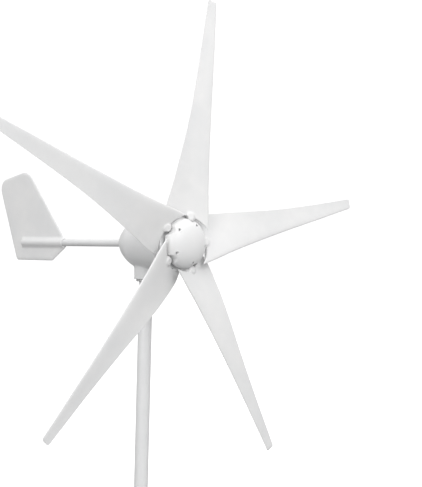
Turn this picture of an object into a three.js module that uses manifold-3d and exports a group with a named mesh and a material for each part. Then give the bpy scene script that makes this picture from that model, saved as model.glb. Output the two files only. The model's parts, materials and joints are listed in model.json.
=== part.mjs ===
// Small horizontal-axis wind turbine: five fixed-pitch blades on a permanent magnet generator, with a
// nacelle that yaws freely on a mast and is steered by a tail vane.
//
// Units are millimetres and +Z is up. The origin is the centre of the mast foot's underside, the nose
// points to -Y and the tail to +Y, so the yaw axis is the Z axis.

import * as THREE from "three";
import { mergeVertices } from "three/addons/utils/BufferGeometryUtils.js";
import Module from "manifold-3d";

const wasm = await Module();
wasm.setup();

// ---------------------------------------------------------------- driving dimensions

const HUB_HEIGHT = 1000; // rotor axis above the foot
const ROTOR_RADIUS = 655;
const OVERHANG = 169; // rotor plane ahead of the yaw axis
const BLADE_COUNT = 5;
const BLADE_PHASE = 84; // degrees from +X towards +Z of the first blade

const MAST_RADIUS = 19;
const MAST_WALL = 3;
const NECK_RADIUS = 32;
const NECK_DROP = 98; // underside of the neck below the rotor axis

const NACELLE_RADIUS = 70;
const NACELLE_BORE = 62.5; // radius
const NACELLE_FRONT = 100; // ahead of the yaw axis
const NACELLE_SHOULDER = -15; // where the tapered tail begins
const NACELLE_TAIL = 97; // length of the tapered tail
const NACELLE_FULLNESS = 1.3; // exponent of the tail's outline: 1 is a cone, 2 an ellipse

const BOOM_RADIUS = 10.4;
const BOOM_WALL = 1.8;
const BOOM_END = -600; // rear end of the boom, behind the yaw axis

const NOSE_RADIUS = 66;
const NOSE_LENGTH = 34;
const ROOT_PITCH = 17; // degrees, of the hub's arms and the blades' feet

const GAP = 0.3; // left between pieces that touch
const RUNNING = 0.06; // radial clearance across a turning fit

// ---------------------------------------------------------------- materials

const material = (color, roughness, metalness) =>
  new THREE.MeshStandardMaterial({ color, roughness, metalness });

const whitePaint = () => material(0xe4e6e8, 0.4, 0.0);
const whitePlastic = () => material(0xeceeef, 0.35, 0.0);
const steel = () => material(0x9a9da1, 0.35, 1.0);
const laminations = () => material(0x55585c, 0.6, 0.8);
const copper = () => material(0xb06a34, 0.35, 1.0);
const magnetNickel = () => material(0x7d8084, 0.3, 1.0);
const blackRubber = () => material(0x18191a, 0.8, 0.0);
const blackPlastic = () => material(0x232527, 0.5, 0.0);
const brass = () => material(0xc29b4c, 0.3, 1.0);
const carbon = () => material(0x2c2c2e, 0.7, 0.1);

// ---------------------------------------------------------------- solids

const RADIANS = Math.PI / 180;
const FINE = 30; // sides of large round pieces
const MEDIUM = 18;
const MODEST = 12;
const COARSE = 8;
const TINY = 6;

// A closed geometry as a manifold-3d solid with its faces out.
function solid(geometry) {
  const bare = geometry.index ? geometry.toNonIndexed() : geometry.clone();
  bare.deleteAttribute("normal");
  bare.deleteAttribute("uv");
  const merged = mergeVertices(bare, 1e-4);
  const triVerts = new Uint32Array(merged.index.array);
  const vertProperties = merged.attributes.position.array;
  const made = new wasm.Manifold(new wasm.Mesh({ numProp: 3, vertProperties, triVerts }));
  if (made.volume() > 0) return made;
  triVerts.reverse();
  return new wasm.Manifold(new wasm.Mesh({ numProp: 3, vertProperties, triVerts }));
}

// Radius of a faceted bore whose flats clear a turning shaft of the given radius.
const runningBore = (radius, sides) => (radius + RUNNING) / Math.cos(Math.PI / sides);

const join = (first, ...others) => others.reduce((sum, next) => sum.add(next), first);
const cut = (first, ...others) => others.reduce((rest, next) => rest.subtract(next), first);

// A named mesh of a solid.
function piece(name, shape, finish) {
  const { numProp, vertProperties, triVerts } = shape.getMesh();
  if (numProp !== 3) throw new Error(`${name}: positions only are expected`);
  const geometry = new THREE.BufferGeometry();
  geometry.setAttribute("position", new THREE.BufferAttribute(vertProperties, 3));
  geometry.setIndex(new THREE.BufferAttribute(triVerts, 1));
  geometry.computeVertexNormals();
  const mesh = new THREE.Mesh(geometry, finish);
  mesh.name = name;
  return mesh;
}

// A solid of revolution about Z, from a closed outline of [radius, z] points.
function turned(outline, sides = FINE) {
  const points = [...outline, outline[0]].map(([r, z]) => new THREE.Vector2(r, z));
  return solid(new THREE.LatheGeometry(points, sides).rotateX(Math.PI / 2));
}

const ring = (inner, outer, z0, z1, sides = FINE) =>
  turned([[inner, z0], [outer, z0], [outer, z1], [inner, z1]], sides);

// An upright cylinder about Z between two heights.
function rod(radius, z0, z1, sides = MEDIUM) {
  const geometry = new THREE.CylinderGeometry(radius, radius, z1 - z0, sides);
  return solid(geometry.rotateX(Math.PI / 2).translate(0, 0, (z0 + z1) / 2));
}

// A box between two corners.
function block([x0, y0, z0], [x1, y1, z1]) {
  const geometry = new THREE.BoxGeometry(x1 - x0, y1 - y0, z1 - z0);
  return solid(geometry.translate((x0 + x1) / 2, (y0 + y1) / 2, (z0 + z1) / 2));
}

// A plate of a flat outline, from z0 to z1.
function plate(shape, z0, z1, curveSegments = 3) {
  const settings = { depth: z1 - z0, bevelEnabled: false, curveSegments };
  return solid(new THREE.ExtrudeGeometry(shape, settings).translate(0, 0, z0));
}

// A hexagon nut or bolt head about Z.
const hexagon = (acrossFlats, z0, z1) => rod(acrossFlats / Math.sqrt(3), z0, z1, 6);

// A solid moved by a matrix of three.js.
const moved = (shape, matrix) => shape.transform(matrix.elements);
const shifted = (shape, x, y, z) => moved(shape, new THREE.Matrix4().makeTranslation(x, y, z));
const turnedX = (shape, degrees) => moved(shape, new THREE.Matrix4().makeRotationX(degrees * RADIANS));
const turnedY = (shape, degrees) => moved(shape, new THREE.Matrix4().makeRotationY(degrees * RADIANS));
const turnedZ = (shape, degrees) => moved(shape, new THREE.Matrix4().makeRotationZ(degrees * RADIANS));

// A flat stadium outline from one point to another.
function stadium([x0, y0], [x1, y1], radius) {
  const along = Math.atan2(y1 - y0, x1 - x0);
  const shape = new THREE.Shape();
  shape.absarc(x1, y1, radius, along - Math.PI / 2, along + Math.PI / 2);
  shape.absarc(x0, y0, radius, along + Math.PI / 2, along + 1.5 * Math.PI);
  shape.closePath();
  return shape;
}

// A closed outline through corners of [x, y, radius], each rounded by its radius.
function roundedOutline(corners) {
  const shape = new THREE.Shape();
  corners.forEach(([x, y, radius], i) => {
    const corner = new THREE.Vector2(x, y);
    const before = new THREE.Vector2(...corners.at(i - 1)).sub(corner).normalize();
    const after = new THREE.Vector2(...corners[(i + 1) % corners.length]).sub(corner).normalize();
    const half = Math.acos(before.dot(after)) / 2;
    const start = before.multiplyScalar(radius / Math.tan(half)).add(corner);
    const end = after.multiplyScalar(radius / Math.tan(half)).add(corner);
    if (i === 0) shape.moveTo(start.x, start.y);
    else shape.lineTo(start.x, start.y);
    shape.quadraticCurveTo(x, y, end.x, end.y);
  });
  shape.closePath();
  return shape;
}

// ---------------------------------------------------------------- rotor
// The rotor's own frame has Z forward along the axis, from the rotor plane, and X along a blade.

const SHAFT_RADIUS = 8.5;
const COLLAR_RADIUS = 10.5; // ahead of the front bearing
const SEAT_BEHIND = 27.5; // hub arm's seat behind the rotor plane, at the blade's axis
const ROOT_RADIUS = 74; // the blades' inner ends lie on this circle
const ARM_THICKNESS = 9;
const BOSS = { at: [73, -13], radius: 12, height: 17, crown: 5 };
const OUTER_BOLT = [100, -8];
const NOTCH = { at: [75, -9], radius: 17.5 };
const BOLT_RADIUS = 4;
const HUB_BACK = -49;
const WEB = { radius: 72.5, z: [-31, -26] };
const NOSE_BACK = -17;
const NOSE_SCREW = {
  circle: 52, angle: -18, head: 3.1, well: 3.6, seat: NOSE_BACK + 22, post: NOSE_BACK + 8,
};

// The blade's edges, as points of [along the blade, towards the leading edge, forward].
const LEADING_EDGE = [
  [40, 64, 4], [65, 62, 3.5], [155, 50.5, 3], [245, 41.5, 3], [335, 34, 3.2], [425, 27.5, 3.3],
  [515, 22, 3], [605, 16, 1.5], [655, 13, 0.5],
];
const TRAILING_EDGE = [
  [40, -57, -46], [65, -60.5, -38.5], [155, -55.5, -19.5], [245, -45, -9.5], [335, -34.5, -5],
  [425, -27, -3.5], [515, -21.5, -3], [605, -17, -2], [655, -14.5, -1.5],
];
const BLADE_SECTIONS = 13;
const SECTION_POINTS = 5; // on each face
const TIP_ROUNDING = 9;

const edgeCurve = (points) =>
  new THREE.CatmullRomCurve3(points.map(([r, t, forward]) => new THREE.Vector3(r, -t, forward)));

// Half thickness of the blade's aerofoil, as a share of its chord, at x from the leading edge.
function halfThickness(x, share) {
  const poly = 0.2969 * Math.sqrt(x) - 0.126 * x - 0.3516 * x ** 2 + 0.2843 * x ** 3 - 0.1036 * x ** 4;
  return 5 * share * poly;
}

// One cross-section of the blade: a ring of points from the trailing edge round the nose and back.
function bladeSection(lead, trail, along) {
  const chord = trail.clone().sub(lead);
  const forward = new THREE.Vector3(1, 0, 0).cross(chord).normalize();
  const share = THREE.MathUtils.lerp(0.1, 0.13, along);
  const camber = 0.035;
  const trailingHalf = 0.6; // mm
  const nearTip = Math.max(0, (lead.x - (ROTOR_RADIUS - TIP_ROUNDING)) / TIP_ROUNDING);
  const shrink = Math.sqrt(Math.max(0, 1 - (0.93 * nearTip) ** 2));
  const points = [];
  for (const side of [1, -1]) {
    for (let k = 0; k < SECTION_POINTS; k++) {
      const step = side > 0 ? SECTION_POINTS - k : k;
      const x = 0.5 - 0.5 * Math.cos((Math.PI * step) / SECTION_POINTS);
      const thick = side * (halfThickness(x, share) * chord.length() + trailingHalf * x);
      const bend = -4 * camber * x * (1 - x) * chord.length();
      const across = 0.5 + (x - 0.5) * THREE.MathUtils.lerp(1, shrink, 0.35);
      const point = lead.clone().addScaledVector(chord, across);
      points.push(point.addScaledVector(forward, bend + thick * shrink));
    }
  }
  return points;
}

// A closed solid through rings of points that all have the same number of points.
function loft(rings) {
  const count = rings[0].length;
  const positions = rings.flat().flatMap((point) => point.toArray());
  const index = [];
  for (let i = 0; i + 1 < rings.length; i++) {
    for (let k = 0; k < count; k++) {
      const a = i * count + k;
      const b = i * count + ((k + 1) % count);
      index.push(a, b, b + count, a, b + count, a + count);
    }
  }
  const last = (rings.length - 1) * count;
  for (let k = 0; k + 1 < count / 2; k++) {
    const mirror = count - 1 - k;
    index.push(k, mirror, k + 1, k + 1, mirror, mirror - 1);
    index.push(last + k, last + k + 1, last + mirror, last + k + 1, last + mirror - 1, last + mirror);
  }
  const geometry = new THREE.BufferGeometry();
  geometry.setAttribute("position", new THREE.Float32BufferAttribute(positions, 3));
  geometry.setIndex(index);
  return solid(geometry);
}

// Brings a shape from the seat's frame, whose Z = 0 is the seat, into the blade's frame.
const onSeat = (shape) => shifted(turnedX(shape, -ROOT_PITCH), 0, 0, -SEAT_BEHIND);

function bladeShape() {
  const lead = edgeCurve(LEADING_EDGE);
  const trail = edgeCurve(TRAILING_EDGE);
  const rings = [];
  for (let i = 0; i <= BLADE_SECTIONS; i++) {
    const along = i / BLADE_SECTIONS;
    rings.push(bladeSection(lead.getPoint(along), trail.getPoint(along), along));
  }
  const [x, y] = BOSS.at;
  const innerEnd = rod(ROOT_RADIUS, -90, 40, FINE);
  const aerofoil = cut(loft(rings), innerEnd);
  const boss = turned(
    [[0, 0], [BOSS.radius, 0], [BOSS.radius, BOSS.height - BOSS.crown], [BOSS.radius - 1.5, BOSS.height - 2],
      [BOSS.radius - BOSS.crown, BOSS.height], [0, BOSS.height]], MODEST);
  const foot = plate(stadium(BOSS.at, OUTER_BOLT, BOSS.radius), 0, 10);
  const root = onSeat(join(shifted(boss, x, y, 0), foot));
  return cut(join(aerofoil, root), ...boltHoles(15));
}

// Holes for a blade's two bolts, to a depth ahead of the seat.
function boltHoles(depth) {
  return [BOSS.at, OUTER_BOLT].map(([x, y]) =>
    onSeat(shifted(rod(BOLT_RADIUS + GAP, -40, depth, COARSE), x, y, 0)));
}

// The clamp bar behind a hub arm, with the two bolts that it locks.
function clampShape() {
  const armBack = -GAP - ARM_THICKNESS;
  const bar = plate(stadium(BOSS.at, OUTER_BOLT, 9), armBack - GAP - 2, armBack - GAP);
  const bolts = [BOSS.at, OUTER_BOLT].map(([x, y]) => {
    const shank = rod(BOLT_RADIUS, armBack - 4, 14, COARSE);
    return shifted(join(shank, hexagon(13, armBack - 7.5, armBack - 1)), x, y, 0);
  });
  return onSeat(join(bar, ...bolts));
}

// The hub's web: a disc that leaves room for the blades' feet and the clamps.
function webShape() {
  const foot = onSeat(plate(stadium(BOSS.at, OUTER_BOLT, BOSS.radius + 2), -GAP, 40));
  const clamp = onSeat(plate(stadium(BOSS.at, OUTER_BOLT, 10.5), -40, -GAP - ARM_THICKNESS));
  const openings = [foot, clamp, ...boltHoles(5)];
  let web = rod(WEB.radius, ...WEB.z, FINE);
  for (let i = 0; i < BLADE_COUNT; i++) {
    web = cut(web, ...openings.map((opening) => turnedZ(opening, (360 / BLADE_COUNT) * i)));
  }
  return web;
}

// The hub: a barrel and web with an arm for each blade and a post for each of the nose cone's screws.
function hubShape() {
  let hub = join(rod(33, HUB_BACK, -15), webShape());
  for (let i = 0; i < BLADE_COUNT; i++) {
    const arm = plate(stadium([12, -6], OUTER_BOLT, 19), -GAP - ARM_THICKNESS, -GAP);
    const post = shifted(rod(5.5, -36, NOSE_SCREW.post, COARSE), ...noseScrewPlaces()[0], 0);
    const spoke = cut(join(onSeat(arm), post), ...boltHoles(5));
    hub = join(hub, turnedZ(spoke, (360 / BLADE_COUNT) * i));
  }
  const screwHoles = noseScrewPlaces().map(([x, y]) => shifted(rod(1.9, -32, 40, TINY), x, y, 0));
  return cut(hub, rod(SHAFT_RADIUS + GAP, -90, 40), ...screwHoles);
}

// Places of the nose cone's screws in the rotor plane.
function noseScrewPlaces() {
  const places = [];
  for (let i = 0; i < BLADE_COUNT; i++) {
    const angle = (NOSE_SCREW.angle + (360 / BLADE_COUNT) * i) * RADIANS;
    places.push([NOSE_SCREW.circle * Math.cos(angle), NOSE_SCREW.circle * Math.sin(angle)]);
  }
  return places;
}

// The dome's outline from its rim to its tip, as [radius, z].
function domeOutline(radius, length, rim) {
  const roundness = 2.25;
  const steps = 6;
  const points = [];
  for (let i = 0; i <= steps; i++) {
    const angle = (i / steps) * (Math.PI / 2);
    const out = Math.cos(angle) ** (2 / roundness);
    const up = Math.sin(angle) ** (2 / roundness);
    points.push([i === steps ? 0 : radius * out, rim + length * up]);
  }
  return points;
}

function noseConeShape() {
  const wall = 3;
  const rim = NOSE_BACK + 5;
  const outside = turned(
    [[0, NOSE_BACK], [NOSE_RADIUS, NOSE_BACK], ...domeOutline(NOSE_RADIUS, NOSE_LENGTH, rim)]);
  const hollow = turned([[0, NOSE_BACK - 5], [NOSE_RADIUS - wall, NOSE_BACK - 5],
    ...domeOutline(NOSE_RADIUS - wall, NOSE_LENGTH - wall, rim)], MEDIUM);
  let cone = cut(outside, hollow);
  for (let i = 0; i < BLADE_COUNT; i++) {
    const around = (360 / BLADE_COUNT) * i;
    const notch = rod(NOTCH.radius, NOSE_BACK - 5, NOSE_BACK + 20, MEDIUM);
    cone = cut(cone, turnedZ(shifted(notch, ...NOTCH.at, 0), around));
  }
  for (const [x, y] of noseScrewPlaces()) {
    const pillar = shifted(rod(5, NOSE_SCREW.post + GAP, 30, COARSE), x, y, 0).intersect(outside);
    cone = cut(join(cone, pillar), shifted(rod(2.3, -40, 40, TINY), x, y, 0),
      shifted(rod(NOSE_SCREW.well, NOSE_SCREW.seat, 40, COARSE), x, y, 0));
  }
  return cone;
}

function noseScrewShape() {
  const seat = NOSE_SCREW.seat + GAP;
  return join(rod(NOSE_SCREW.head, seat, seat + 2.4, COARSE), rod(1.6, -28, seat + 1, TINY));
}

// Stations along the main shaft, from the rotor plane.
const SHAFT = {
  thread: 12, hub: -49.3, frontBearing: [-73, -61], core: [-127, -85], rearBearing: [-145, -134],
};

function mainShaftShape() {
  return turned([
    [0, -148], [7.4, -148], [7.4, SHAFT.rearBearing[1] + GAP], [10, SHAFT.rearBearing[1] + GAP],
    [10, SHAFT.core[1]],
    [11, SHAFT.core[1]], [11, SHAFT.frontBearing[0]], [SHAFT_RADIUS, SHAFT.frontBearing[0]],
    [SHAFT_RADIUS, SHAFT.frontBearing[1]], [COLLAR_RADIUS, SHAFT.frontBearing[1]], [COLLAR_RADIUS, SHAFT.hub],
    [SHAFT_RADIUS, SHAFT.hub], [SHAFT_RADIUS, -15.5], [7, -15.5], [7, SHAFT.thread - 1], [6, SHAFT.thread],
    [0, SHAFT.thread],
  ], MEDIUM);
}

function hubNutShape() {
  const washer = ring(7.3, 14, -14.7, -12.7, MEDIUM);
  return join(washer, cut(hexagon(22, -13, -1), rod(7.3, -20, 5)));
}

const rotorCoreShape = () => {
  const [back, front] = SHAFT.core;
  const holes = [];
  for (let i = 0; i < 6; i++) {
    holes.push(turnedZ(shifted(rod(5, back - 5, front + 5, COARSE), 22, 0, 0), 60 * i));
  }
  return cut(ring(10 + GAP, 34, back, front - GAP, MEDIUM), ...holes);
};

const magnetRingShape = () => ring(34 + GAP * 2, 40, SHAFT.core[0], SHAFT.core[1] - GAP, MEDIUM);

// A bearing race: inner or outer ring of a ball bearing with a groove for the balls.
function race(bore, outside, z0, z1, grooveOutside) {
  const middle = (z0 + z1) / 2;
  const half = (z1 - z0) / 2;
  const depth = 1.6;
  const face = grooveOutside ? outside : bore;
  const floor = grooveOutside ? outside - depth : bore + depth;
  const groove = [[face, middle - half * 0.45], [floor, middle], [face, middle + half * 0.45]];
  return grooveOutside
    ? turned([[bore, z0], [outside, z0], ...groove, [outside, z1], [bore, z1]], MEDIUM)
    : turned([[bore, z0], [outside, z0], [outside, z1], [bore, z1], ...groove.reverse()], MEDIUM);
}

function rotorPieces() {
  const rotor = new THREE.Group();
  rotor.rotation.z = BLADE_PHASE * RADIANS;
  rotor.position.z = OVERHANG;
  const blade = bladeShape();
  const clamp = clampShape();
  const places = noseScrewPlaces();
  for (let i = 0; i < BLADE_COUNT; i++) {
    const spoke = new THREE.Group();
    spoke.rotation.z = (-2 * Math.PI * i) / BLADE_COUNT;
    spoke.add(piece(`blade_${i + 1}`, blade, whitePlastic()));
    spoke.add(piece(`blade_clamp_${i + 1}`, clamp, steel()));
    rotor.add(spoke);
    const screw = piece(`nose_screw_${i + 1}`, noseScrewShape(), steel());
    screw.position.set(...places[i], 0);
    rotor.add(screw);
  }
  rotor.add(piece("hub", hubShape(), whitePaint()));
  rotor.add(piece("nose_cone", noseConeShape(), whitePlastic()));
  rotor.add(piece("main_shaft", mainShaftShape(), steel()));
  rotor.add(piece("hub_nut", hubNutShape(), steel()));
  rotor.add(piece("rotor_core", rotorCoreShape(), laminations()));
  rotor.add(piece("magnet_ring", magnetRingShape(), magnetNickel()));
  const front = race(SHAFT_RADIUS + GAP, 12.5, SHAFT.frontBearing[0] + GAP, SHAFT.frontBearing[1] - GAP, true);
  const rear = race(7.4 + GAP, 10.5, SHAFT.rearBearing[0], SHAFT.rearBearing[1], true);
  rotor.add(piece("front_bearing_inner", front, steel()));
  rotor.add(piece("rear_bearing_inner", rear, steel()));
  return rotor;
}

// ---------------------------------------------------------------- nacelle
// The nacelle's own frame has Z forward along the rotor axis, from the yaw axis, and Y up.

const CORE = [42, 84]; // stator and rotor core, along the axis
const STATOR_RADIUS = 61.7;
const STATOR_BORE = 42;
const TEETH = 12;
const BULKHEAD = [17, 22];
const REAR_BEARING = { z: [24, 35], radius: 17.5 };
const FRONT_BEARING = { z: [96, 108], radius: 20 };
const COVER_SCREWS = { count: 4, radius: 66.2, seat: 106 };
const YAW_BEARING = { radius: 26, lower: [-95.7, -80.8], upper: [-66, -51] };
const JOURNAL = 12.5; // radius of the yaw shaft in its bearings
const BOOM_FRONT = -42;
const SOCKET_RADIUS = 16;
const BOOM_SCREW_AT = -85;
const SEAL_RADIUS = 15;
const LEAD_HOLE = [45, 20];
const SLIP_RINGS = { radius: 15.5, half: 3.5, heights: [-34.5, -23.5, -12.5] };

// The tapered tail's outline from its shoulder to its point, as [radius, z], for a radius and a length.
function tailOutline(radius, length) {
  const steps = 6;
  const points = [];
  for (let i = 0; i <= steps; i++) {
    const along = 1 - (1 - i / steps) ** 1.6;
    const left = 1 - along ** NACELLE_FULLNESS;
    points.push([radius * left ** (1 / NACELLE_FULLNESS), NACELLE_SHOULDER - length * along]);
  }
  return points;
}

// An upright bore or post below the rotor axis, between two heights.
const upright = (radius, y0, y1, sides = MEDIUM) => turnedX(rod(radius, y0, y1, sides), -90);

function nacelleShellShape() {
  const [bulkheadBack, bulkheadFront] = BULKHEAD;
  const wall = 5;
  const front = NACELLE_FRONT;
  const outside = turned([[0, front], [NACELLE_RADIUS, front], ...tailOutline(NACELLE_RADIUS, NACELLE_TAIL)]);
  const generatorBay = rod(NACELLE_BORE, bulkheadFront, front + 5, FINE);
  const tailBay = turned([[0, bulkheadBack], [NACELLE_RADIUS - wall, bulkheadBack],
    ...tailOutline(NACELLE_RADIUS - wall, NACELLE_TAIL - 12)], MEDIUM);
  const hollow = cut(join(outside, upright(NECK_RADIUS, -NECK_DROP, -30)), generatorBay, tailBay);

  const socket = rod(SOCKET_RADIUS, -NACELLE_TAIL, BOOM_FRONT + 2).intersect(
    join(outside, rod(SOCKET_RADIUS, -80, 0)));
  const neckBoss = upright(NECK_RADIUS, -NECK_DROP, YAW_BEARING.upper[1] + 3).intersect(
    join(outside, upright(NECK_RADIUS, -NECK_DROP, -60)));
  const bearingBoss = rod(24, bulkheadFront - 1, REAR_BEARING.z[1] + 1);
  const body = join(hollow, socket, neckBoss, bearingBoss);

  const screwHoles = coverScrewPlaces().map(([x, y]) =>
    shifted(rod(2.3, front - 15, front + 5, TINY), x, y, 0));
  return cut(body,
    rod(13, bulkheadBack - 5, 40),
    rod(REAR_BEARING.radius + GAP, REAR_BEARING.z[0] - GAP, 45),
    rod(BOOM_RADIUS + GAP, -150, BOOM_FRONT),
    shifted(upright(3.3, -60, 0, MODEST), 0, 0, BOOM_SCREW_AT),
    upright(YAW_BEARING.radius + GAP, -110, YAW_BEARING.lower[1] + GAP),
    upright(21, -100, -40),
    upright(YAW_BEARING.radius + GAP, YAW_BEARING.upper[0] - GAP, -40),
    shifted(rod(5, bulkheadBack - 5, bulkheadFront + 5, COARSE), ...LEAD_HOLE, 0),
    ...screwHoles);
}

function coverScrewPlaces() {
  const places = [];
  for (let i = 0; i < COVER_SCREWS.count; i++) {
    const angle = ((i + 0.5) / COVER_SCREWS.count) * 2 * Math.PI;
    places.push([COVER_SCREWS.radius * Math.cos(angle), COVER_SCREWS.radius * Math.sin(angle)]);
  }
  return places;
}

function frontCoverShape() {
  const [back, front] = FRONT_BEARING.z;
  const housing = FRONT_BEARING.radius + GAP;
  const flange = NACELLE_FRONT + GAP;
  const bell = turned([
    [housing, back - 2], [26, back - 2], [26, flange], [57, flange], [57, 93], [NACELLE_BORE - GAP, 93],
    [NACELLE_BORE - GAP, flange], [NACELLE_RADIUS, flange], [NACELLE_RADIUS, COVER_SCREWS.seat],
    [61.5, COVER_SCREWS.seat], [54, 111], [27, 116], [SEAL_RADIUS + GAP, 116],
    [SEAL_RADIUS + GAP, front + GAP], [housing, front + GAP],
  ]);
  return cut(bell, ...coverScrewPlaces().map(([x, y]) => shifted(rod(2.3, 90, 120, TINY), x, y, 0)));
}

const coverScrewShape = () => {
  const seat = COVER_SCREWS.seat + GAP;
  const socket = hexagon(3, seat + 1.5, seat + 6);
  return cut(join(rod(3.6, seat, seat + 3.2, COARSE), rod(2, seat - 18, seat + 1, TINY)), socket);
};

// The laminated stator: a yoke with teeth that point in to the magnets.
function statorCoreShape() {
  const outline = new THREE.Shape();
  outline.absarc(0, 0, STATOR_RADIUS, 0, 2 * Math.PI);
  const bore = new THREE.Path();
  const corners = [
    [-12, STATOR_BORE], [12, STATOR_BORE], [12, 44], [8, 46], [7.5, 56], [22.5, 56], [22, 46], [18, 44],
  ];
  for (let i = 0; i < TEETH; i++) {
    for (const [degrees, radius] of corners) {
      const angle = (degrees + (360 / TEETH) * i) * RADIANS;
      const move = i === 0 && degrees === corners[0][0] ? "moveTo" : "lineTo";
      bore[move](radius * Math.cos(angle), radius * Math.sin(angle));
    }
  }
  bore.closePath();
  outline.holes.push(bore);
  return plate(outline, ...CORE, 18);
}

// The winding as one piece: bars in the slots, joined by the end turns.
function statorWindingShape() {
  const [back, front] = CORE;
  const turns = [ring(45.6, 57, back - 8, back - GAP), ring(45.6, 57, front + GAP, front + 8)];
  for (let i = 0; i < TEETH; i++) {
    const bar = block([46.6, -4.6, back - 4], [54.8, 4.6, front + 4]);
    turns.push(turnedZ(bar, (360 / TEETH) * (i + 0.5)));
  }
  return join(...turns);
}

// The three stator leads in one sleeve, from the winding through the bulkhead to the brush holder.
function statorLeadsShape() {
  const [x, y] = LEAD_HOLE;
  const route = [[x, y, 33.5], [x, y, 26], [x, y, 14], [42, 18, 5], [35, 13, 1], [29, 5, 0], [28, -3.6, 0]];
  const path = new THREE.CatmullRomCurve3(route.map((point) => new THREE.Vector3(...point)));
  const section = new THREE.Shape();
  section.absarc(0, 0, 3, 0, 2 * Math.PI);
  return solid(new THREE.ExtrudeGeometry(section, { steps: 18, curveSegments: 4, extrudePath: path }));
}

// The brush holder: an L of plastic on the bulkhead, with a pocket for each brush.
function brushHolderShape() {
  const foot = block([19, -42, 11.7], [40, -4, BULKHEAD[0] - GAP]);
  const body = block([19, -42, -8], [34, -4, 12]);
  const pockets = SLIP_RINGS.heights.map((y) => block([10, y - 3.3, -4.3], [27.3, y + 3.3, 4.3]));
  return cut(join(body, foot), ...pockets);
}

const brushShape = (y) => {
  const wear = upright(runningBore(SLIP_RINGS.radius, MEDIUM), y - 10, y + 10);
  return cut(block([12, y - 3, -4], [27, y + 3, 4]), wear);
};

function tailBoomShape() {
  return ring(BOOM_RADIUS - BOOM_WALL, BOOM_RADIUS, BOOM_END + 6, BOOM_FRONT - GAP, MEDIUM);
}

const VANE = { thick: 3.2, edge: 6, sleeve: 13, sleeveFront: -384 };
const VANE_SCREWS = [-430, -560];

// The vane's outline, as corners of [behind the yaw axis, above the rotor axis, radius].
const VANE_OUTLINE = [
  [378, -14, 12], [385, 13, 12], [583, 222, 70], [746, 192, 30], [633, -54.5, 16], [444, -54, 14],
];

function tailVaneShape() {
  const settings = {
    depth: 0.8, bevelSize: VANE.edge, bevelOffset: -VANE.edge, bevelThickness: VANE.thick - 0.4,
    bevelSegments: 2, curveSegments: 4,
  };
  const flat = new THREE.ExtrudeGeometry(roundedOutline(VANE_OUTLINE), settings).translate(0, 0, -0.4);
  const upInYZ = new THREE.Matrix4().makeBasis(
    new THREE.Vector3(0, 0, -1), new THREE.Vector3(0, 1, 0), new THREE.Vector3(1, 0, 0));
  const plateShape = solid(flat.applyMatrix4(upInYZ));
  const sleeve = turned([[0, BOOM_END], [VANE.sleeve - 6, BOOM_END], [VANE.sleeve - 2, BOOM_END + 2.5],
    [VANE.sleeve, BOOM_END + 8], [VANE.sleeve, VANE.sleeveFront - 3], [VANE.sleeve - 1, VANE.sleeveFront],
    [0, VANE.sleeveFront]], MEDIUM);
  const holes = VANE_SCREWS.map((z) => shifted(turnedY(rod(2.3, 0, 20, TINY), 90), 0, 0, z));
  const boomBore = rod(BOOM_RADIUS + GAP, BOOM_END + 6 - GAP, -300, MEDIUM);
  return cut(join(plateShape, sleeve), boomBore, ...holes);
}

const vaneScrewShape = () => {
  const head = rod(4, VANE.sleeve + 0.1, VANE.sleeve + 2.6, COARSE);
  const shank = rod(1.7, BOOM_RADIUS + 0.5, VANE.sleeve + 1, TINY);
  return turnedY(join(head, shank), 90);
};

const boomScrewShape = () => upright(2.8, -18.5, -BOOM_RADIUS - GAP, MODEST);

const yawSealShape = () =>
  turnedX(ring(runningBore(15, MEDIUM), YAW_BEARING.radius, -97.8, -96, MEDIUM), -90);

const outerRace = (bearing) => {
  const [back, front] = bearing.z;
  return race(bearing.radius - 4, bearing.radius, back + GAP, front - GAP, false);
};

function nacellePieces() {
  const nacelle = new THREE.Group();
  nacelle.add(piece("nacelle_shell", nacelleShellShape(), whitePaint()));
  nacelle.add(piece("front_cover", frontCoverShape(), whitePaint()));
  coverScrewPlaces().forEach(([x, y], i) => {
    const screw = piece(`cover_screw_${i + 1}`, coverScrewShape(), steel());
    screw.position.set(x, y, 0);
    nacelle.add(screw);
  });
  nacelle.add(piece("front_bearing_outer", outerRace(FRONT_BEARING), steel()));
  nacelle.add(piece("rear_bearing_outer", outerRace(REAR_BEARING), steel()));
  const seal = ring(runningBore(COLLAR_RADIUS, MEDIUM), SEAL_RADIUS, 109, 115.5, MEDIUM);
  nacelle.add(piece("shaft_seal", seal, blackRubber()));
  nacelle.add(piece("stator_core", statorCoreShape(), laminations()));
  nacelle.add(piece("stator_winding", statorWindingShape(), copper()));
  nacelle.add(piece("stator_leads", statorLeadsShape(), blackPlastic()));
  nacelle.add(piece("brush_holder", brushHolderShape(), blackPlastic()));
  SLIP_RINGS.heights.forEach((y, i) => nacelle.add(piece(`brush_${i + 1}`, brushShape(y), carbon())));
  for (const level of ["lower", "upper"]) {
    const shape = turnedX(outerRace({ z: YAW_BEARING[level], radius: YAW_BEARING.radius }), -90);
    nacelle.add(piece(`yaw_bearing_${level}_outer`, shape, steel()));
  }
  nacelle.add(piece("yaw_seal", yawSealShape(), blackRubber()));
  nacelle.add(piece("tail_boom", tailBoomShape(), whitePaint()));
  const boomScrew = piece("boom_set_screw", boomScrewShape(), steel());
  boomScrew.position.z = BOOM_SCREW_AT;
  nacelle.add(boomScrew);
  nacelle.add(piece("tail_vane", tailVaneShape(), whitePlastic()));
  VANE_SCREWS.forEach((z, i) => {
    const screw = piece(`vane_screw_${i + 1}`, vaneScrewShape(), steel());
    screw.position.z = z;
    nacelle.add(screw);
  });
  return nacelle;
}

// ---------------------------------------------------------------- mast
// The mast's frame has Z up from the foot. Heights of the yaw shaft are below the rotor axis.

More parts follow.
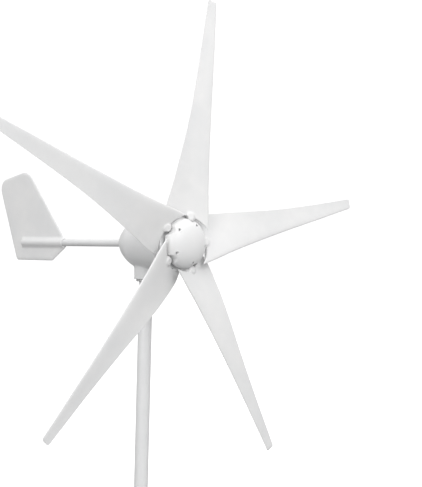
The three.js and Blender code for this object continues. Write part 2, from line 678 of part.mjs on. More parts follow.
const MAST_TOP = -105.3;
const FLANGE = { radius: 27, z: [-105, -99] };
const SPIGOT_END = -175;
const FOOT = {
  radius: 80, thick: 8, collar: 27, collarHeight: 55, bolts: 4, pitchCircle: 125,
  screwHeight: 30, screwAngle: 45,
};
const CABLE_HOLE = { height: 110, radius: 7 };
const MAST_SCREWS = [-130, -158];

function yawShaftShape() {
  const [flangeBack, flangeFront] = FLANGE.z;
  const spigot = MAST_RADIUS - MAST_WALL - GAP;
  const hollow = 6;
  const shoulder = YAW_BEARING.lower[0] + 0.1;
  const shaft = turned([
    [hollow, SPIGOT_END], [spigot - 1, SPIGOT_END], [spigot, SPIGOT_END + 1], [spigot, flangeBack],
    [FLANGE.radius, flangeBack], [FLANGE.radius, flangeFront], [15, flangeFront], [15, shoulder],
    [JOURNAL, shoulder], [JOURNAL, YAW_BEARING.upper[1]], [9, YAW_BEARING.upper[1]], [9, 2], [hollow, 2],
  ], MEDIUM);
  return cut(shaft, ...MAST_SCREWS.map((z) => shifted(turnedY(rod(2.7, 8, 20, COARSE), 90), 0, 0, z)));
}

function slipRingSleeveShape() {
  const bottom = YAW_BEARING.upper[1] + GAP;
  const inner = 9 + GAP;
  const collar = bottom + 5;
  return turned([[inner, bottom], [15, bottom], [15, collar], [12.5, collar], [12.5, -3], [inner, -3]], MEDIUM);
}

const slipRingShape = (height) =>
  ring(12.5 + GAP, SLIP_RINGS.radius, height - SLIP_RINGS.half, height + SLIP_RINGS.half, MEDIUM);

function mastTubeShape() {
  const tube = ring(MAST_RADIUS - MAST_WALL, MAST_RADIUS, FOOT.thick + GAP, HUB_HEIGHT + MAST_TOP);
  const cableWay = turnedX(rod(CABLE_HOLE.radius + GAP, -25, -5, COARSE), 90);
  const screwHoles = MAST_SCREWS.map((z) =>
    shifted(turnedY(rod(3.4, 10, 25, COARSE), 90), 0, 0, HUB_HEIGHT + z));
  return cut(tube, shifted(cableWay, 0, 0, CABLE_HOLE.height), ...screwHoles);
}

const mastScrewShape = () =>
  turnedY(join(rod(2.4, 9, MAST_RADIUS + 1, COARSE), rod(4.5, MAST_RADIUS + GAP, MAST_RADIUS + 4, COARSE)), 90);

const cableGrommetShape = () => {
  const flange = ring(4.5, 10, MAST_RADIUS + GAP, MAST_RADIUS + 2.5, COARSE);
  const neck = ring(4.5, CABLE_HOLE.radius - GAP, MAST_RADIUS - MAST_WALL - 1, MAST_RADIUS + 1, COARSE);
  return shifted(turnedX(join(neck, flange), -90), 0, 0, CABLE_HOLE.height);
};

// Lays a shape about Z along the line of the foot's set screw.
const acrossFoot = (shape) => turnedZ(shifted(turnedY(shape, 90), 0, 0, FOOT.screwHeight), FOOT.screwAngle);

// The cast foot: a flange with bolt holes, a collar for the mast and ribs between them.
function mastFootShape() {
  const collar = ring(MAST_RADIUS + GAP, FOOT.collar, 1, FOOT.collarHeight);
  let foot = join(rod(FOOT.radius, 0, FOOT.thick, FINE), collar);
  for (let i = 0; i < FOOT.bolts; i++) {
    const rib = roundedOutline(
      [[FOOT.collar - 2, 0.5, 0.1], [70, 0.5, 0.1], [70, 11, 1], [FOOT.collar - 2, 46, 1]]);
    const standing = turnedX(plate(rib, -3, 3), 90);
    const bolt = shifted(rod(5.5, -5, 20, COARSE), FOOT.pitchCircle / 2, 0, 0);
    foot = join(foot, turnedZ(standing, 90 * i));
    foot = cut(foot, turnedZ(bolt, 90 * i + 45));
  }
  return cut(foot, acrossFoot(rod(3.3, -40, -15, MODEST)));
}

const footScrewShape = () => acrossFoot(rod(3, -FOOT.collar - 2, -MAST_RADIUS - GAP - 0.2, MODEST));

function mastPieces() {
  const mast = new THREE.Group();
  mast.add(piece("mast_foot", mastFootShape(), whitePaint()));
  mast.add(piece("foot_set_screw", footScrewShape(), steel()));
  mast.add(piece("mast_tube", mastTubeShape(), whitePaint()));
  mast.add(piece("cable_grommet", cableGrommetShape(), blackRubber()));
  const head = new THREE.Group();
  head.position.z = HUB_HEIGHT;
  head.add(piece("yaw_shaft", yawShaftShape(), steel()));
  MAST_SCREWS.forEach((z, i) => {
    const screw = piece(`mast_set_screw_${i + 1}`, mastScrewShape(), steel());
    screw.position.z = z;
    head.add(screw);
  });
  for (const level of ["lower", "upper"]) {
    const [bottom, roof] = YAW_BEARING[level];
    const shape = race(JOURNAL + GAP, JOURNAL + 4.5, bottom + GAP, roof - GAP, true);
    head.add(piece(`yaw_bearing_${level}_inner`, shape, steel()));
  }
  head.add(piece("slip_ring_sleeve", slipRingSleeveShape(), blackPlastic()));
  SLIP_RINGS.heights.forEach((z, i) => head.add(piece(`slip_ring_${i + 1}`, slipRingShape(z), brass())));
  mast.add(head);
  return mast;
}

// ---------------------------------------------------------------- the turbine

const top = new THREE.Group();
top.position.z = HUB_HEIGHT;
top.rotation.x = Math.PI / 2;
top.add(rotorPieces(), nacellePieces());

const group = new THREE.Group();
group.add(mastPieces(), top);
export default group;
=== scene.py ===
"""Looks of a small five-blade wind turbine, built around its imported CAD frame.

The shape functions work in millimetres, each in the frame of the sub-assembly it belongs to, and
add_piece() places what they make in the row frame, in metres. Fillets, mouldings and soft edges that
the CAD solids leave out are made here.
"""

import json
import math

import bmesh
import bpy
import numpy as np
from mathutils import Matrix, Vector


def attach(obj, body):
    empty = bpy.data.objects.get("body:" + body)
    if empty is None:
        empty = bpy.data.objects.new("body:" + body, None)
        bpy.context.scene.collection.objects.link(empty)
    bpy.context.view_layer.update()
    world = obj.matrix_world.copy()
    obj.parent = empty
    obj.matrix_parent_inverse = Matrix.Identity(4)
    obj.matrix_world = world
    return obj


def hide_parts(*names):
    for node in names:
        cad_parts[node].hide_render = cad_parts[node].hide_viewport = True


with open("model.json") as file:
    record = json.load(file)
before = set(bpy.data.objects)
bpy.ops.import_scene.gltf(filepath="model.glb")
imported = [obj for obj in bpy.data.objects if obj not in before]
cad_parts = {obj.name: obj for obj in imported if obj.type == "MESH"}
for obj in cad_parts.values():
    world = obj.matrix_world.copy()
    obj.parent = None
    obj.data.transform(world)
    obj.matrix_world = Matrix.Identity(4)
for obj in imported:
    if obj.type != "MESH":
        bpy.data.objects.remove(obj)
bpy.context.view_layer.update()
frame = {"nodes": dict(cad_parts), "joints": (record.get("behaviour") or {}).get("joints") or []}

# ---------------------------------------------------------------- places and driving sizes

MM = 0.001
ROTOR_CENTRE = Vector(next(j["pos_m"] for j in frame["joints"] if j["name"] == "rotor_spin"))
BLADE_COUNT = 5
STEP_ANGLE = math.tau / BLADE_COUNT
BLADE_PHASE = math.radians(84)  # of the first blade, from +X towards +Z
ROTOR_RADIUS = 655

FACING_FORWARD = Matrix.Rotation(math.pi / 2, 4, "X")  # Z forward along the rotor axis, Y up
FOOT_FRAME = Matrix.Identity(4)
HEAD_FRAME = Matrix.Translation((0, 0, ROTOR_CENTRE.z))
NACELLE_FRAME = HEAD_FRAME @ FACING_FORWARD
ROTOR_FRAME = Matrix.Translation(ROTOR_CENTRE) @ FACING_FORWARD @ Matrix.Rotation(BLADE_PHASE, 4, "Z")

# ---------------------------------------------------------------- camera, light and floor

VIEW_AZIMUTH = math.radians(-42.5)
VIEW_ELEVATION = math.radians(-0.9)
VIEW_ROLL = math.radians(1.37)
VIEW_DISTANCE = 3.178
AIM_ASIDE = 0.061  # of the view's centre, to the right of the rotor's centre
LENS = 89.3


def make_camera():
    """The camera, a little below the rotor axis and to the left of the nose."""
    back = Vector((
        math.sin(VIEW_AZIMUTH) * math.cos(VIEW_ELEVATION),
        -math.cos(VIEW_AZIMUTH) * math.cos(VIEW_ELEVATION),
        math.sin(VIEW_ELEVATION),
    ))
    camera = bpy.data.objects.new("camera", bpy.data.cameras.new("camera"))
    bpy.context.scene.collection.objects.link(camera)
    camera.rotation_mode = "QUATERNION"
    upright = (-back).to_track_quat("-Z", "Y")
    camera.rotation_quaternion = upright @ Matrix.Rotation(VIEW_ROLL, 4, "Z").to_quaternion()
    right = camera.rotation_quaternion @ Vector((1, 0, 0))
    camera.location = ROTOR_CENTRE + right * AIM_ASIDE + back * VIEW_DISTANCE
    camera.data.sensor_width = 36
    camera.data.lens = LENS
    camera.data.clip_end = 200
    bpy.context.scene.camera = camera


def make_area_light(name, location, size, watts):
    light = bpy.data.lights.new(name, "AREA")
    light.shape = "DISK"
    light.size = size
    light.energy = watts
    lamp = bpy.data.objects.new(name, light)
    lamp.location = location
    lamp.rotation_mode = "QUATERNION"
    lamp.rotation_quaternion = (ROTOR_CENTRE - lamp.location).to_track_quat("-Z", "Y")
    bpy.context.scene.collection.objects.link(lamp)


def make_studio():
    """Three soft lamps in a white room with a pale floor."""
    make_area_light("overhead", Vector((0.8, -1.8, 4.4)), size=3.0, watts=22)
    make_area_light("front", Vector((-1.0, -4.6, 3.4)), size=2.6, watts=76)
    make_area_light("side", Vector((-4.8, -2.0, 1.9)), size=2.6, watts=68)

    world = bpy.data.worlds.new("white_room")
    world.use_nodes = True
    bpy.context.scene.world = world
    graph = Graph(world.node_tree)
    towards = graph.add("ShaderNodeTexCoord").outputs["Generated"]
    height = graph.add("ShaderNodeSeparateXYZ", {"Vector": towards}).outputs["Z"]
    lit = graph.add("ShaderNodeBackground", {"Strength": graph.spread(height, -0.2, 0.9, 1.04, 1.14)})
    seen = graph.add("ShaderNodeBackground", {"Color": (1, 1, 1, 1), "Strength": 1.1})
    ray = graph.add("ShaderNodeLightPath").outputs["Is Camera Ray"]
    both = graph.add("ShaderNodeMixShader", {0: ray, 1: lit.outputs[0], 2: seen.outputs[0]})
    graph.add("ShaderNodeOutputWorld", {"Surface": both.outputs[0]})

    floor = bpy.data.objects.new("floor", bpy.data.meshes.new("floor"))
    half = 60  # of the floor's width, in metres
    corners = [(-half, -half, 0), (half, -half, 0), (half, half, 0), (-half, half, 0)]
    floor.data.from_pydata(corners, [], [(0, 1, 2, 3)])
    floor.data.materials.append(pale_floor())
    bpy.context.scene.collection.objects.link(floor)


# ---------------------------------------------------------------- materials


class Graph:
    """A node tree being filled: add() makes a node, sets its inputs and links sockets given as inputs."""

    def __init__(self, tree):
        self.tree = tree
        tree.nodes.clear()

    def add(self, kind, inputs=None, **settings):
        node = self.tree.nodes.new(kind)
        for name, value in settings.items():
            setattr(node, name, value)
        for key, value in (inputs or {}).items():
            socket = node.inputs[key]
            if isinstance(value, bpy.types.NodeSocket):
                self.tree.links.new(value, socket)
            else:
                socket.default_value = value
        return node

    def noise(self, scale, detail=3.0):
        """Noise in object space, with about that many features a metre."""
        place = self.add("ShaderNodeTexCoord").outputs["Object"]
        noise = self.add("ShaderNodeTexNoise", {"Vector": place, "Scale": scale, "Detail": detail})
        return noise.outputs["Fac"]

    def spread(self, value, low, high, to_low=0.0, to_high=1.0):
        """A value mapped from one range to another, clamped."""
        node = self.add("ShaderNodeMapRange", {
            "Value": value, "From Min": low, "From Max": high, "To Min": to_low, "To Max": to_high})
        return node.outputs["Result"]

    def blend(self, share, first, second):
        """A colour between two colours."""
        node = self.add("ShaderNodeMix", data_type="RGBA")
        for socket, value in zip((node.inputs[0], node.inputs[6], node.inputs[7]), (share, first, second)):
            if isinstance(value, bpy.types.NodeSocket):
                self.tree.links.new(value, socket)
            else:
                socket.default_value = value
        return node.outputs[2]

    def bump(self, height, distance, normal=None):
        inputs = {"Height": height, "Distance": distance, "Strength": 1.0}
        if normal is not None:
            inputs["Normal"] = normal
        return self.add("ShaderNodeBump", inputs).outputs["Normal"]

    def edges(self):
        """1 along outward edges, 0 on flats: the mask for painted edge highlights."""
        return self.spread(self.add("ShaderNodeNewGeometry").outputs["Pointiness"], 0.52, 0.6)

    def surface(self, inputs):
        shader = self.add("ShaderNodeBsdfPrincipled", inputs)
        self.add("ShaderNodeOutputMaterial", {"Surface": shader.outputs[0]})


def grey(level, warm=0.0):
    """A nearly neutral colour, a touch warm or cool."""
    return (level * (1 + warm), level, level * (1 - warm), 1)


def new_material(name):
    material = bpy.data.materials.new(name)
    material.use_nodes = True
    return material, Graph(material.node_tree)


def white_plastic():
    """Injection-moulded white plastic: satin, faintly clouded, with a fine peel in the gloss."""
    material, graph = new_material("white_plastic")
    clouds = graph.noise(9, detail=4)
    mottling = graph.noise(30, detail=3)
    tone = graph.blend(graph.spread(clouds, 0.35, 0.65), grey(0.80, -0.004), grey(0.845, 0.003))
    tone = graph.blend(graph.spread(mottling, 0.35, 0.75, 0.0, 0.35), tone, grey(0.775, -0.003))
    peel = graph.bump(graph.noise(260, detail=2), 0.00006)
    grain = graph.bump(graph.noise(2400, detail=2), 0.000012, normal=peel)
    graph.surface({
        "Base Color": tone,
        "Roughness": graph.spread(graph.noise(40, detail=5), 0.3, 0.7, 0.3, 0.42),
        "Specular IOR Level": 0.4,
        "Normal": grain,
    })
    return material


def white_paint():
    """White powder coat on cast and drawn metal: fine orange peel, and a painted highlight that lightens
    its edges.
    """
    material, graph = new_material("white_paint")
    clouds = graph.noise(14, detail=4)
    tone = graph.blend(graph.spread(clouds, 0.3, 0.7), grey(0.765, -0.006), grey(0.805, -0.002))
    # painted highlight: outward edges are lightened towards a paler white, standing in for the light they
    # catch
    tone = graph.blend(graph.edges(), tone, grey(0.86))
    specks = graph.spread(graph.noise(900, detail=1), 0.72, 0.8, 0.0, 0.25)
    tone = graph.blend(specks, tone, grey(0.7))
    peel = graph.bump(graph.noise(420, detail=2), 0.00009)
    graph.surface({
        "Base Color": tone,
        "Roughness": graph.spread(graph.noise(60, detail=4), 0.3, 0.7, 0.36, 0.5),
        "Specular IOR Level": 0.45,
        "Normal": peel,
    })
    return material


def turned_metal(name, light, dark, roughness, rings_per_metre):
    """Bare metal with fine rings left by turning, about the object's Z axis, and a little tarnish."""
    material, graph = new_material(name)
    place = graph.add("ShaderNodeTexCoord").outputs["Object"]
    wave = graph.add("ShaderNodeTexWave", {
        "Vector": place, "Scale": rings_per_metre, "Distortion": 0.6, "Detail": 2.0, "Detail Scale": 2.0},
        wave_type="BANDS", bands_direction="Z")
    tone = graph.blend(graph.spread(graph.noise(120, detail=4), 0.35, 0.65), dark, light)
    rough = graph.spread(graph.noise(300, detail=3), 0.3, 0.7, roughness * 0.8, roughness * 1.3)
    graph.surface({
        "Base Color": tone,
        "Metallic": 1.0,
        "Roughness": rough,
        "Normal": graph.bump(wave.outputs["Fac"], 0.00002),
    })
    return material


def steel():
    return turned_metal("steel", grey(0.74), grey(0.62), 0.34, 500)


def zinc_plate():
    return turned_metal("zinc_plate", grey(0.66, -0.01), grey(0.5, -0.02), 0.38, 350)


def ring_brass():
    return turned_metal("ring_brass", (0.76, 0.56, 0.27, 1), (0.6, 0.42, 0.18, 1), 0.28, 700)


def magnet_nickel():
    return turned_metal("magnet_nickel", grey(0.5, 0.02), grey(0.38, 0.02), 0.3, 120)


def laminations():
    """A stack of varnished electrical steel sheets, seen as fine lines around the axis."""
    material, graph = new_material("laminations")
    place = graph.add("ShaderNodeTexCoord").outputs["Object"]
    sheets = graph.add("ShaderNodeTexWave", {
        "Vector": place, "Scale": 320, "Distortion": 0.2, "Detail": 1.0},
        wave_type="BANDS", bands_direction="Y")
    lines = graph.spread(sheets.outputs["Fac"], 0.1, 0.5)
    tone = graph.blend(lines, grey(0.08), grey(0.24, -0.04))
    tone = graph.blend(graph.spread(graph.noise(50), 0.5, 0.8, 0.0, 0.5), tone, (0.2, 0.16, 0.12, 1))
    graph.surface({
        "Base Color": tone,
        "Metallic": 0.8,
        "Roughness": graph.spread(graph.noise(200), 0.3, 0.7, 0.42, 0.62),
        "Normal": graph.bump(sheets.outputs["Fac"], 0.00005),
    })
    return material


def winding_copper():
    """Enamelled copper wire, wound in close turns."""
    material, graph = new_material("winding_copper")
    place = graph.add("ShaderNodeTexCoord").outputs["Object"]
    wires = graph.add("ShaderNodeTexWave", {
        "Vector": place, "Scale": 210, "Distortion": 3.0, "Detail": 2.0, "Detail Scale": 1.5},
        wave_type="RINGS", rings_direction="Y")
    turns = wires.outputs["Fac"]
    tone = graph.blend(graph.spread(turns, 0.1, 0.7), (0.2, 0.07, 0.025, 1), (0.66, 0.27, 0.1, 1))
    graph.surface({
        "Base Color": tone,
        "Metallic": 0.85,
        "Roughness": graph.spread(graph.noise(260), 0.3, 0.7, 0.24, 0.4),
        "Coat Weight": 0.5,
        "Normal": graph.bump(turns, 0.0002),
    })
    return material


def dull(name, dark, light, roughness, grain, height):
    """A matt dark moulding or pressing with a fine grain, and a painted highlight along its edges."""
    material, graph = new_material(name)
    tone = graph.blend(graph.spread(graph.noise(grain * 0.1, detail=4), 0.3, 0.7), dark, light)
    # painted highlight: outward edges are lightened to 1.5 times the light tone
    tone = graph.blend(graph.edges(), tone, tuple(1.5 * part for part in light[:3]) + (1,))
    graph.surface({
        "Base Color": tone,
        "Roughness": graph.spread(graph.noise(grain * 0.3), 0.3, 0.7, roughness * 0.85, roughness * 1.1),
        "Normal": graph.bump(graph.noise(grain, detail=3), height),
    })
    return material


def rubber():
    return dull("rubber", grey(0.018), grey(0.032), 0.8, 1500, 0.00005)


def black_plastic():
    return dull("black_plastic", grey(0.022), grey(0.035), 0.5, 2200, 0.00003)


def carbon():
    return dull("carbon", grey(0.03), grey(0.06, 0.02), 0.7, 3000, 0.00002)


def pale_floor():
    """The studio floor: pale to the eye, and a mid grey to the light that it sends back up."""
    material, graph = new_material("pale_floor")
    tone = graph.blend(graph.spread(graph.noise(3), 0.3, 0.7), grey(0.86), grey(0.9))
    painted = graph.add("ShaderNodeBsdfDiffuse", {"Color": tone})
    glow = graph.add("ShaderNodeEmission", {"Color": grey(1.0), "Strength": 0.6})
    seen = graph.add("ShaderNodeAddShader", {0: painted.outputs[0], 1: glow.outputs[0]})
    sent_back = graph.add("ShaderNodeBsdfDiffuse", {"Color": grey(0.25)})
    ray = graph.add("ShaderNodeLightPath").outputs["Is Camera Ray"]
    both = graph.add("ShaderNodeMixShader", {0: ray, 1: sent_back.outputs[0], 2: seen.outputs[0]})
    graph.add("ShaderNodeOutputMaterial", {"Surface": both.outputs[0]})
    return material


# ---------------------------------------------------------------- meshes


def add_piece(name, shape, place, body, nodes, material, sharp=40):
    """A visible piece of (points in mm, faces), placed by a matrix, that stands for CAD nodes."""
    obj = new_object(name, shape, place)
    finish_piece(obj, body, nodes, material, sharp)
    return obj


def new_object(name, shape, place):
    """An object of (points in mm, faces). The matrix moves its mesh, and its own frame stays the row's."""
    points, faces = shape
    mesh = bpy.data.meshes.new(name)
    mesh.from_pydata((np.asarray(points) * MM).tolist(), [], [list(map(int, face)) for face in faces])
    mesh.transform(place)
    work = bmesh.new()
    work.from_mesh(mesh)
    bmesh.ops.recalc_face_normals(work, faces=work.faces)
    work.to_mesh(mesh)
    work.free()
    obj = bpy.data.objects.new(name, mesh)
    bpy.context.scene.collection.objects.link(obj)
    return obj


def finish_piece(obj, body, nodes, material, sharp):
    shade(obj.data, sharp)
    obj.data.materials.clear()
    obj.data.materials.append(material)
    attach(obj, body)
    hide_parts(*nodes)


def shade(mesh, sharp):
    """Smooth shading, with edges sharper than that many degrees kept crisp."""
    mesh.shade_smooth()
    mesh.set_sharp_from_angle(angle=math.radians(sharp))


def drill(obj, place, *cutters):
    """Cuts shapes of (points in mm, faces), placed by a matrix, out of a piece."""
    cutter = new_object("cutter", joined(*cutters), place)
    hole = obj.modifiers.new("holes", "BOOLEAN")
    hole.operation = "DIFFERENCE"
    hole.solver = "EXACT"
    hole.object = cutter
    depsgraph = bpy.context.evaluated_depsgraph_get()
    cut = bpy.data.meshes.new_from_object(obj.evaluated_get(depsgraph))
    obj.modifiers.clear()
    obj.data = cut
    bpy.data.objects.remove(cutter)


def joined(*shapes):
    """Several shapes of (points, faces) as one."""
    points = []
    faces = []
    for more_points, more_faces in shapes:
        first = len(points)
        points.extend(np.asarray(more_points).tolist())
        faces.extend([[int(corner) + first for corner in face] for face in more_faces])
    return np.array(points), faces


def moved(shape, matrix):
    """A shape moved by a 4x4 matrix whose lengths are millimetres."""
    points, faces = shape
    turn = np.array(matrix)
    return np.asarray(points) @ turn[:3, :3].T + turn[:3, 3], faces


def shift(x, y, z):
    return Matrix.Translation((x, y, z))


def turn(degrees, axis):
    return Matrix.Rotation(math.radians(degrees), 4, axis)


def rounded(corners, steps=5):
    """A closed outline through corners of [x, y, radius], each rounded by an arc of its radius."""
    outline = []
    for i, (x, y, radius) in enumerate(corners):
        corner = np.array([x, y], float)
        if radius == 0:
            outline.append(corner)
            continue
        before = np.array(corners[i - 1][:2], float) - corner
        after = np.array(corners[(i + 1) % len(corners)][:2], float) - corner
        before /= np.linalg.norm(before)
        after /= np.linalg.norm(after)
        half = math.acos(max(-1.0, min(1.0, before @ after))) / 2
        centre = corner + (before + after) / np.linalg.norm(before + after) * radius / math.sin(half)
        start = corner + before * radius / math.tan(half) - centre
        end = corner + after * radius / math.tan(half) - centre
        sweep = math.pi - 2 * half
        for k in range(steps + 1):
            share = k / steps
            arc = (math.sin((1 - share) * sweep) * start + math.sin(share * sweep) * end) / math.sin(sweep)
            outline.append(centre + arc)
    return np.array(outline)


def lathe(outline, sides=96):
    """A closed shape turned about Z from a closed outline of [radius, z]."""
    points = []
    rings = []
    for radius, z in outline:
        if radius < 1e-6:
            rings.append([len(points)] * sides)
            points.append([0, 0, z])
            continue
        rings.append(list(range(len(points), len(points) + sides)))
        for k in range(sides):
            around = math.tau * k / sides
            points.append([radius * math.cos(around), radius * math.sin(around), z])
    faces = []
    for i, ring in enumerate(rings):
        following = rings[(i + 1) % len(rings)]
        for k in range(sides):
            corners = [ring[k], ring[(k + 1) % sides], following[(k + 1) % sides], following[k]]
            distinct = list(dict.fromkeys(corners))
            if len(distinct) > 2:
                faces.append(distinct)
    return np.array(points), faces


def rod(radius, z0, z1, sides=32):
    """A plain cylinder about Z, used as a cutter."""
    return lathe([[0, z0], [radius, z0], [radius, z1], [0, z1]], sides)


def smooth_min(a, b, radius):
    """The lesser of two distances, with the corner between them rounded by about that radius."""
    return np.minimum(a, b) - np.maximum(radius - np.abs(a - b), 0.0) ** 2 / (4 * radius)


def smooth_max(a, b, radius):
    return -smooth_min(-a, -b, radius)


def between(value, low, high):
    """Signed distance to a slab: negative between two levels."""
    return np.maximum(low - value, value - high)


def stadium(x, y, first, last, radius):
    """Signed distance to a flat stadium from one point to another."""
    (x0, y0), (x1, y1) = first, last
    length_squared = (x1 - x0) ** 2 + (y1 - y0) ** 2
    share = np.clip(((x - x0) * (x1 - x0) + (y - y0) * (y1 - y0)) / length_squared, 0, 1)
    return np.hypot(x - x0 - share * (x1 - x0), y - y0 - share * (y1 - y0)) - radius


def field_surface(field, low, high, step):
    """A closed mesh where field(x, y, z) is zero, negative inside, from a grid of that step.

    Each grid cell that the surface passes through gets one point, which then slides down the field's
    slope on to the surface itself.
    """
    axes = [np.arange(a - step, b + 2 * step, step) for a, b in zip(low, high)]
    y, z = np.meshgrid(axes[1], axes[2], indexing="ij")
    value = np.stack([field(np.full_like(y, x), y, z) for x in axes[0]])
    cells = np.array(value.shape) - 1
    total = np.zeros((cells.prod(), 3))
    hits = np.zeros(cells.prod())
    quads = []
    for axis in range(3):
        others = [other for other in range(3) if other != axis]
        along = np.moveaxis(value, axis, 0)
        crossed = (along[:-1] < 0) != (along[1:] < 0)
        start = along[:-1][crossed]
        end = along[1:][crossed]
        index = np.empty((len(start), 3), int)
        index[:, [axis, *others]] = np.argwhere(crossed)
        crossing = index.astype(float)
        crossing[:, axis] += start / (start - end)
        around = []
        for back in ((0, 0), (1, 0), (1, 1), (0, 1)):
            cell = index.copy()
            cell[:, others] -= back
            flat = np.ravel_multi_index(cell.T, cells)
            np.add.at(total, flat, crossing)
            np.add.at(hits, flat, 1)
            around.append(flat)
        quad = np.stack(around, axis=1)
        flipped = (start >= 0) != (axis == 1)
        quad[flipped] = quad[flipped][:, ::-1]
        quads.append(quad)
    used = hits > 0
    number = np.cumsum(used) - 1
    origin = np.array([axis[0] for axis in axes])
    points = origin + step * total[used] / hits[used][:, None]
    return slide_on_to(field, points, step), number[np.concatenate(quads)]


def slide_on_to(field, points, step):
    """Points moved down a field's slope to where it is zero, by at most about a grid step."""
    probe = 0.01
    start = points.copy()
    for _ in range(5):
        x, y, z = points.T
        here = field(x, y, z)
        slope = np.stack([
            field(x + probe, y, z) - here, field(x, y + probe, z) - here, field(x, y, z + probe) - here,
        ], axis=1) / probe
        steepness = np.maximum((slope**2).sum(axis=1), 0.2)
        points = points - (here / steepness)[:, None] * slope
        drift = points - start
        reach = np.linalg.norm(drift, axis=1, keepdims=True)
        points = start + drift * np.minimum(1, step / np.maximum(reach, 1e-9))
    return points


# ---------------------------------------------------------------- rotor
# The rotor's frame has Z forward from the rotor plane. A blade's frame also has X along the blade and
# its leading edge towards -Y.

ROOT_PITCH = math.radians(17)
SEAT_BEHIND = 27.5  # of the hub arms' seats behind the rotor plane, at the blade's axis
ROOT_RADIUS = 74
BOSS_AT = (73, -13)
BOSS_RADIUS = 12
BOSS_HEIGHT = 17
OUTER_BOLT = (100, -8)
BOLT_HOLE = 4.3  # radius
BOLT_RADIUS = 4
BOLT_HEAD = (13, 4.3)  # across flats, height
ARM_THICKNESS = 9
GAP = 0.3
NOSE_RADIUS = 66
NOSE_LENGTH = 34
NOSE_BACK = -17
NOSE_RIM = NOSE_BACK + 5
NOTCH_AT = (75, -9)
NOTCH_RADIUS = 17.5
NOSE_SCREW_HEAD = 3.1
NOSE_SCREW_WELL = 3.6
NOSE_SCREW_SEAT = NOSE_BACK + 22
NOSE_POST = NOSE_BACK + 8  # the front of the hub's posts for the nose screws
SCREW_CIRCLE = 52
SCREW_ANGLE = math.radians(-18)
NOSE_POST_RADIUS = 5.5
HUB_RADIUS = 33
HUB_BACK = -49
HUB_FRONT = -15
HUB_BORE = 8.8  # radius
WEB_RADIUS = 72.5
WEB = (-31, -26)

# The blade's edges, as points of [along the blade, towards the leading edge, forward].
LEADING_EDGE = [
    (40, 64, 4), (65, 62, 3.5), (155, 50.5, 3), (245, 41.5, 3), (335, 34, 3.2), (425, 27.5, 3.3),
    (515, 22, 3), (605, 16, 1.5), (655, 13, 0.5),
]
TRAILING_EDGE = [
    (40, -57, -46), (65, -60.5, -38.5), (155, -55.5, -19.5), (245, -45, -9.5), (335, -34.5, -5),
    (425, -27, -3.5), (515, -21.5, -3), (605, -17, -2), (655, -14.5, -1.5),
]
TIP_ROUNDING = 9


def curve_through(knots, along):
    """A smooth curve through knots of [along, value, value], at places along it."""
    table = np.array(knots, float)
    places = table[:, 0]
    values = table[:, 1:]
    slopes = np.gradient(values, places, axis=0)
    i = np.clip(np.searchsorted(places, along) - 1, 0, len(places) - 2)
    width = places[i + 1] - places[i]
    t = ((along - places[i]) / width)[:, None]
    width = width[:, None]
    return (
        (2 * t**3 - 3 * t**2 + 1) * values[i]
        + (t**3 - 2 * t**2 + t) * width * slopes[i]
        + (3 * t**2 - 2 * t**3) * values[i + 1]
        + (t**3 - t**2) * width * slopes[i + 1]
    )


def half_thickness(x, share):
    """Half the thickness of the blade's aerofoil, as a share of its chord, at x from the leading edge."""
    return 5 * share * (0.2969 * np.sqrt(x) - 0.126 * x - 0.3516 * x**2 + 0.2843 * x**3 - 0.1036 * x**4)


def to_seat(y, z):
    """From the blade's frame to the frame of the hub arm's seat, whose Z is square to the seat."""
    ahead = z + SEAT_BEHIND
    return (
        y * math.cos(ROOT_PITCH) - ahead * math.sin(ROOT_PITCH),
        y * math.sin(ROOT_PITCH) + ahead * math.cos(ROOT_PITCH),
    )


def from_seat(y, z):
    return (
        y * math.cos(ROOT_PITCH) + z * math.sin(ROOT_PITCH),
        z * math.cos(ROOT_PITCH) - y * math.sin(ROOT_PITCH) - SEAT_BEHIND,
    )


def plateau(distance, radius, power):
    """1 well inside a radius, 0 well outside, with a smooth wall between."""
    return 1 / (1 + (np.maximum(distance, 0) / radius) ** power)


def inner_end(y):
    """Where the blade's root begins along the blade, at a place across it: an arc about the hub, with
    a tongue that follows the boss."""
    arc = np.sqrt(ROOT_RADIUS**2 - y**2)
    across = np.clip(np.abs(y - BOSS_AT[1]) / BOSS_RADIUS, 0, 1)
    tongue = BOSS_AT[0] - BOSS_RADIUS * np.sqrt(1 - across**2)
    return smooth_min(arc, tongue + 6 * across**6, 4)


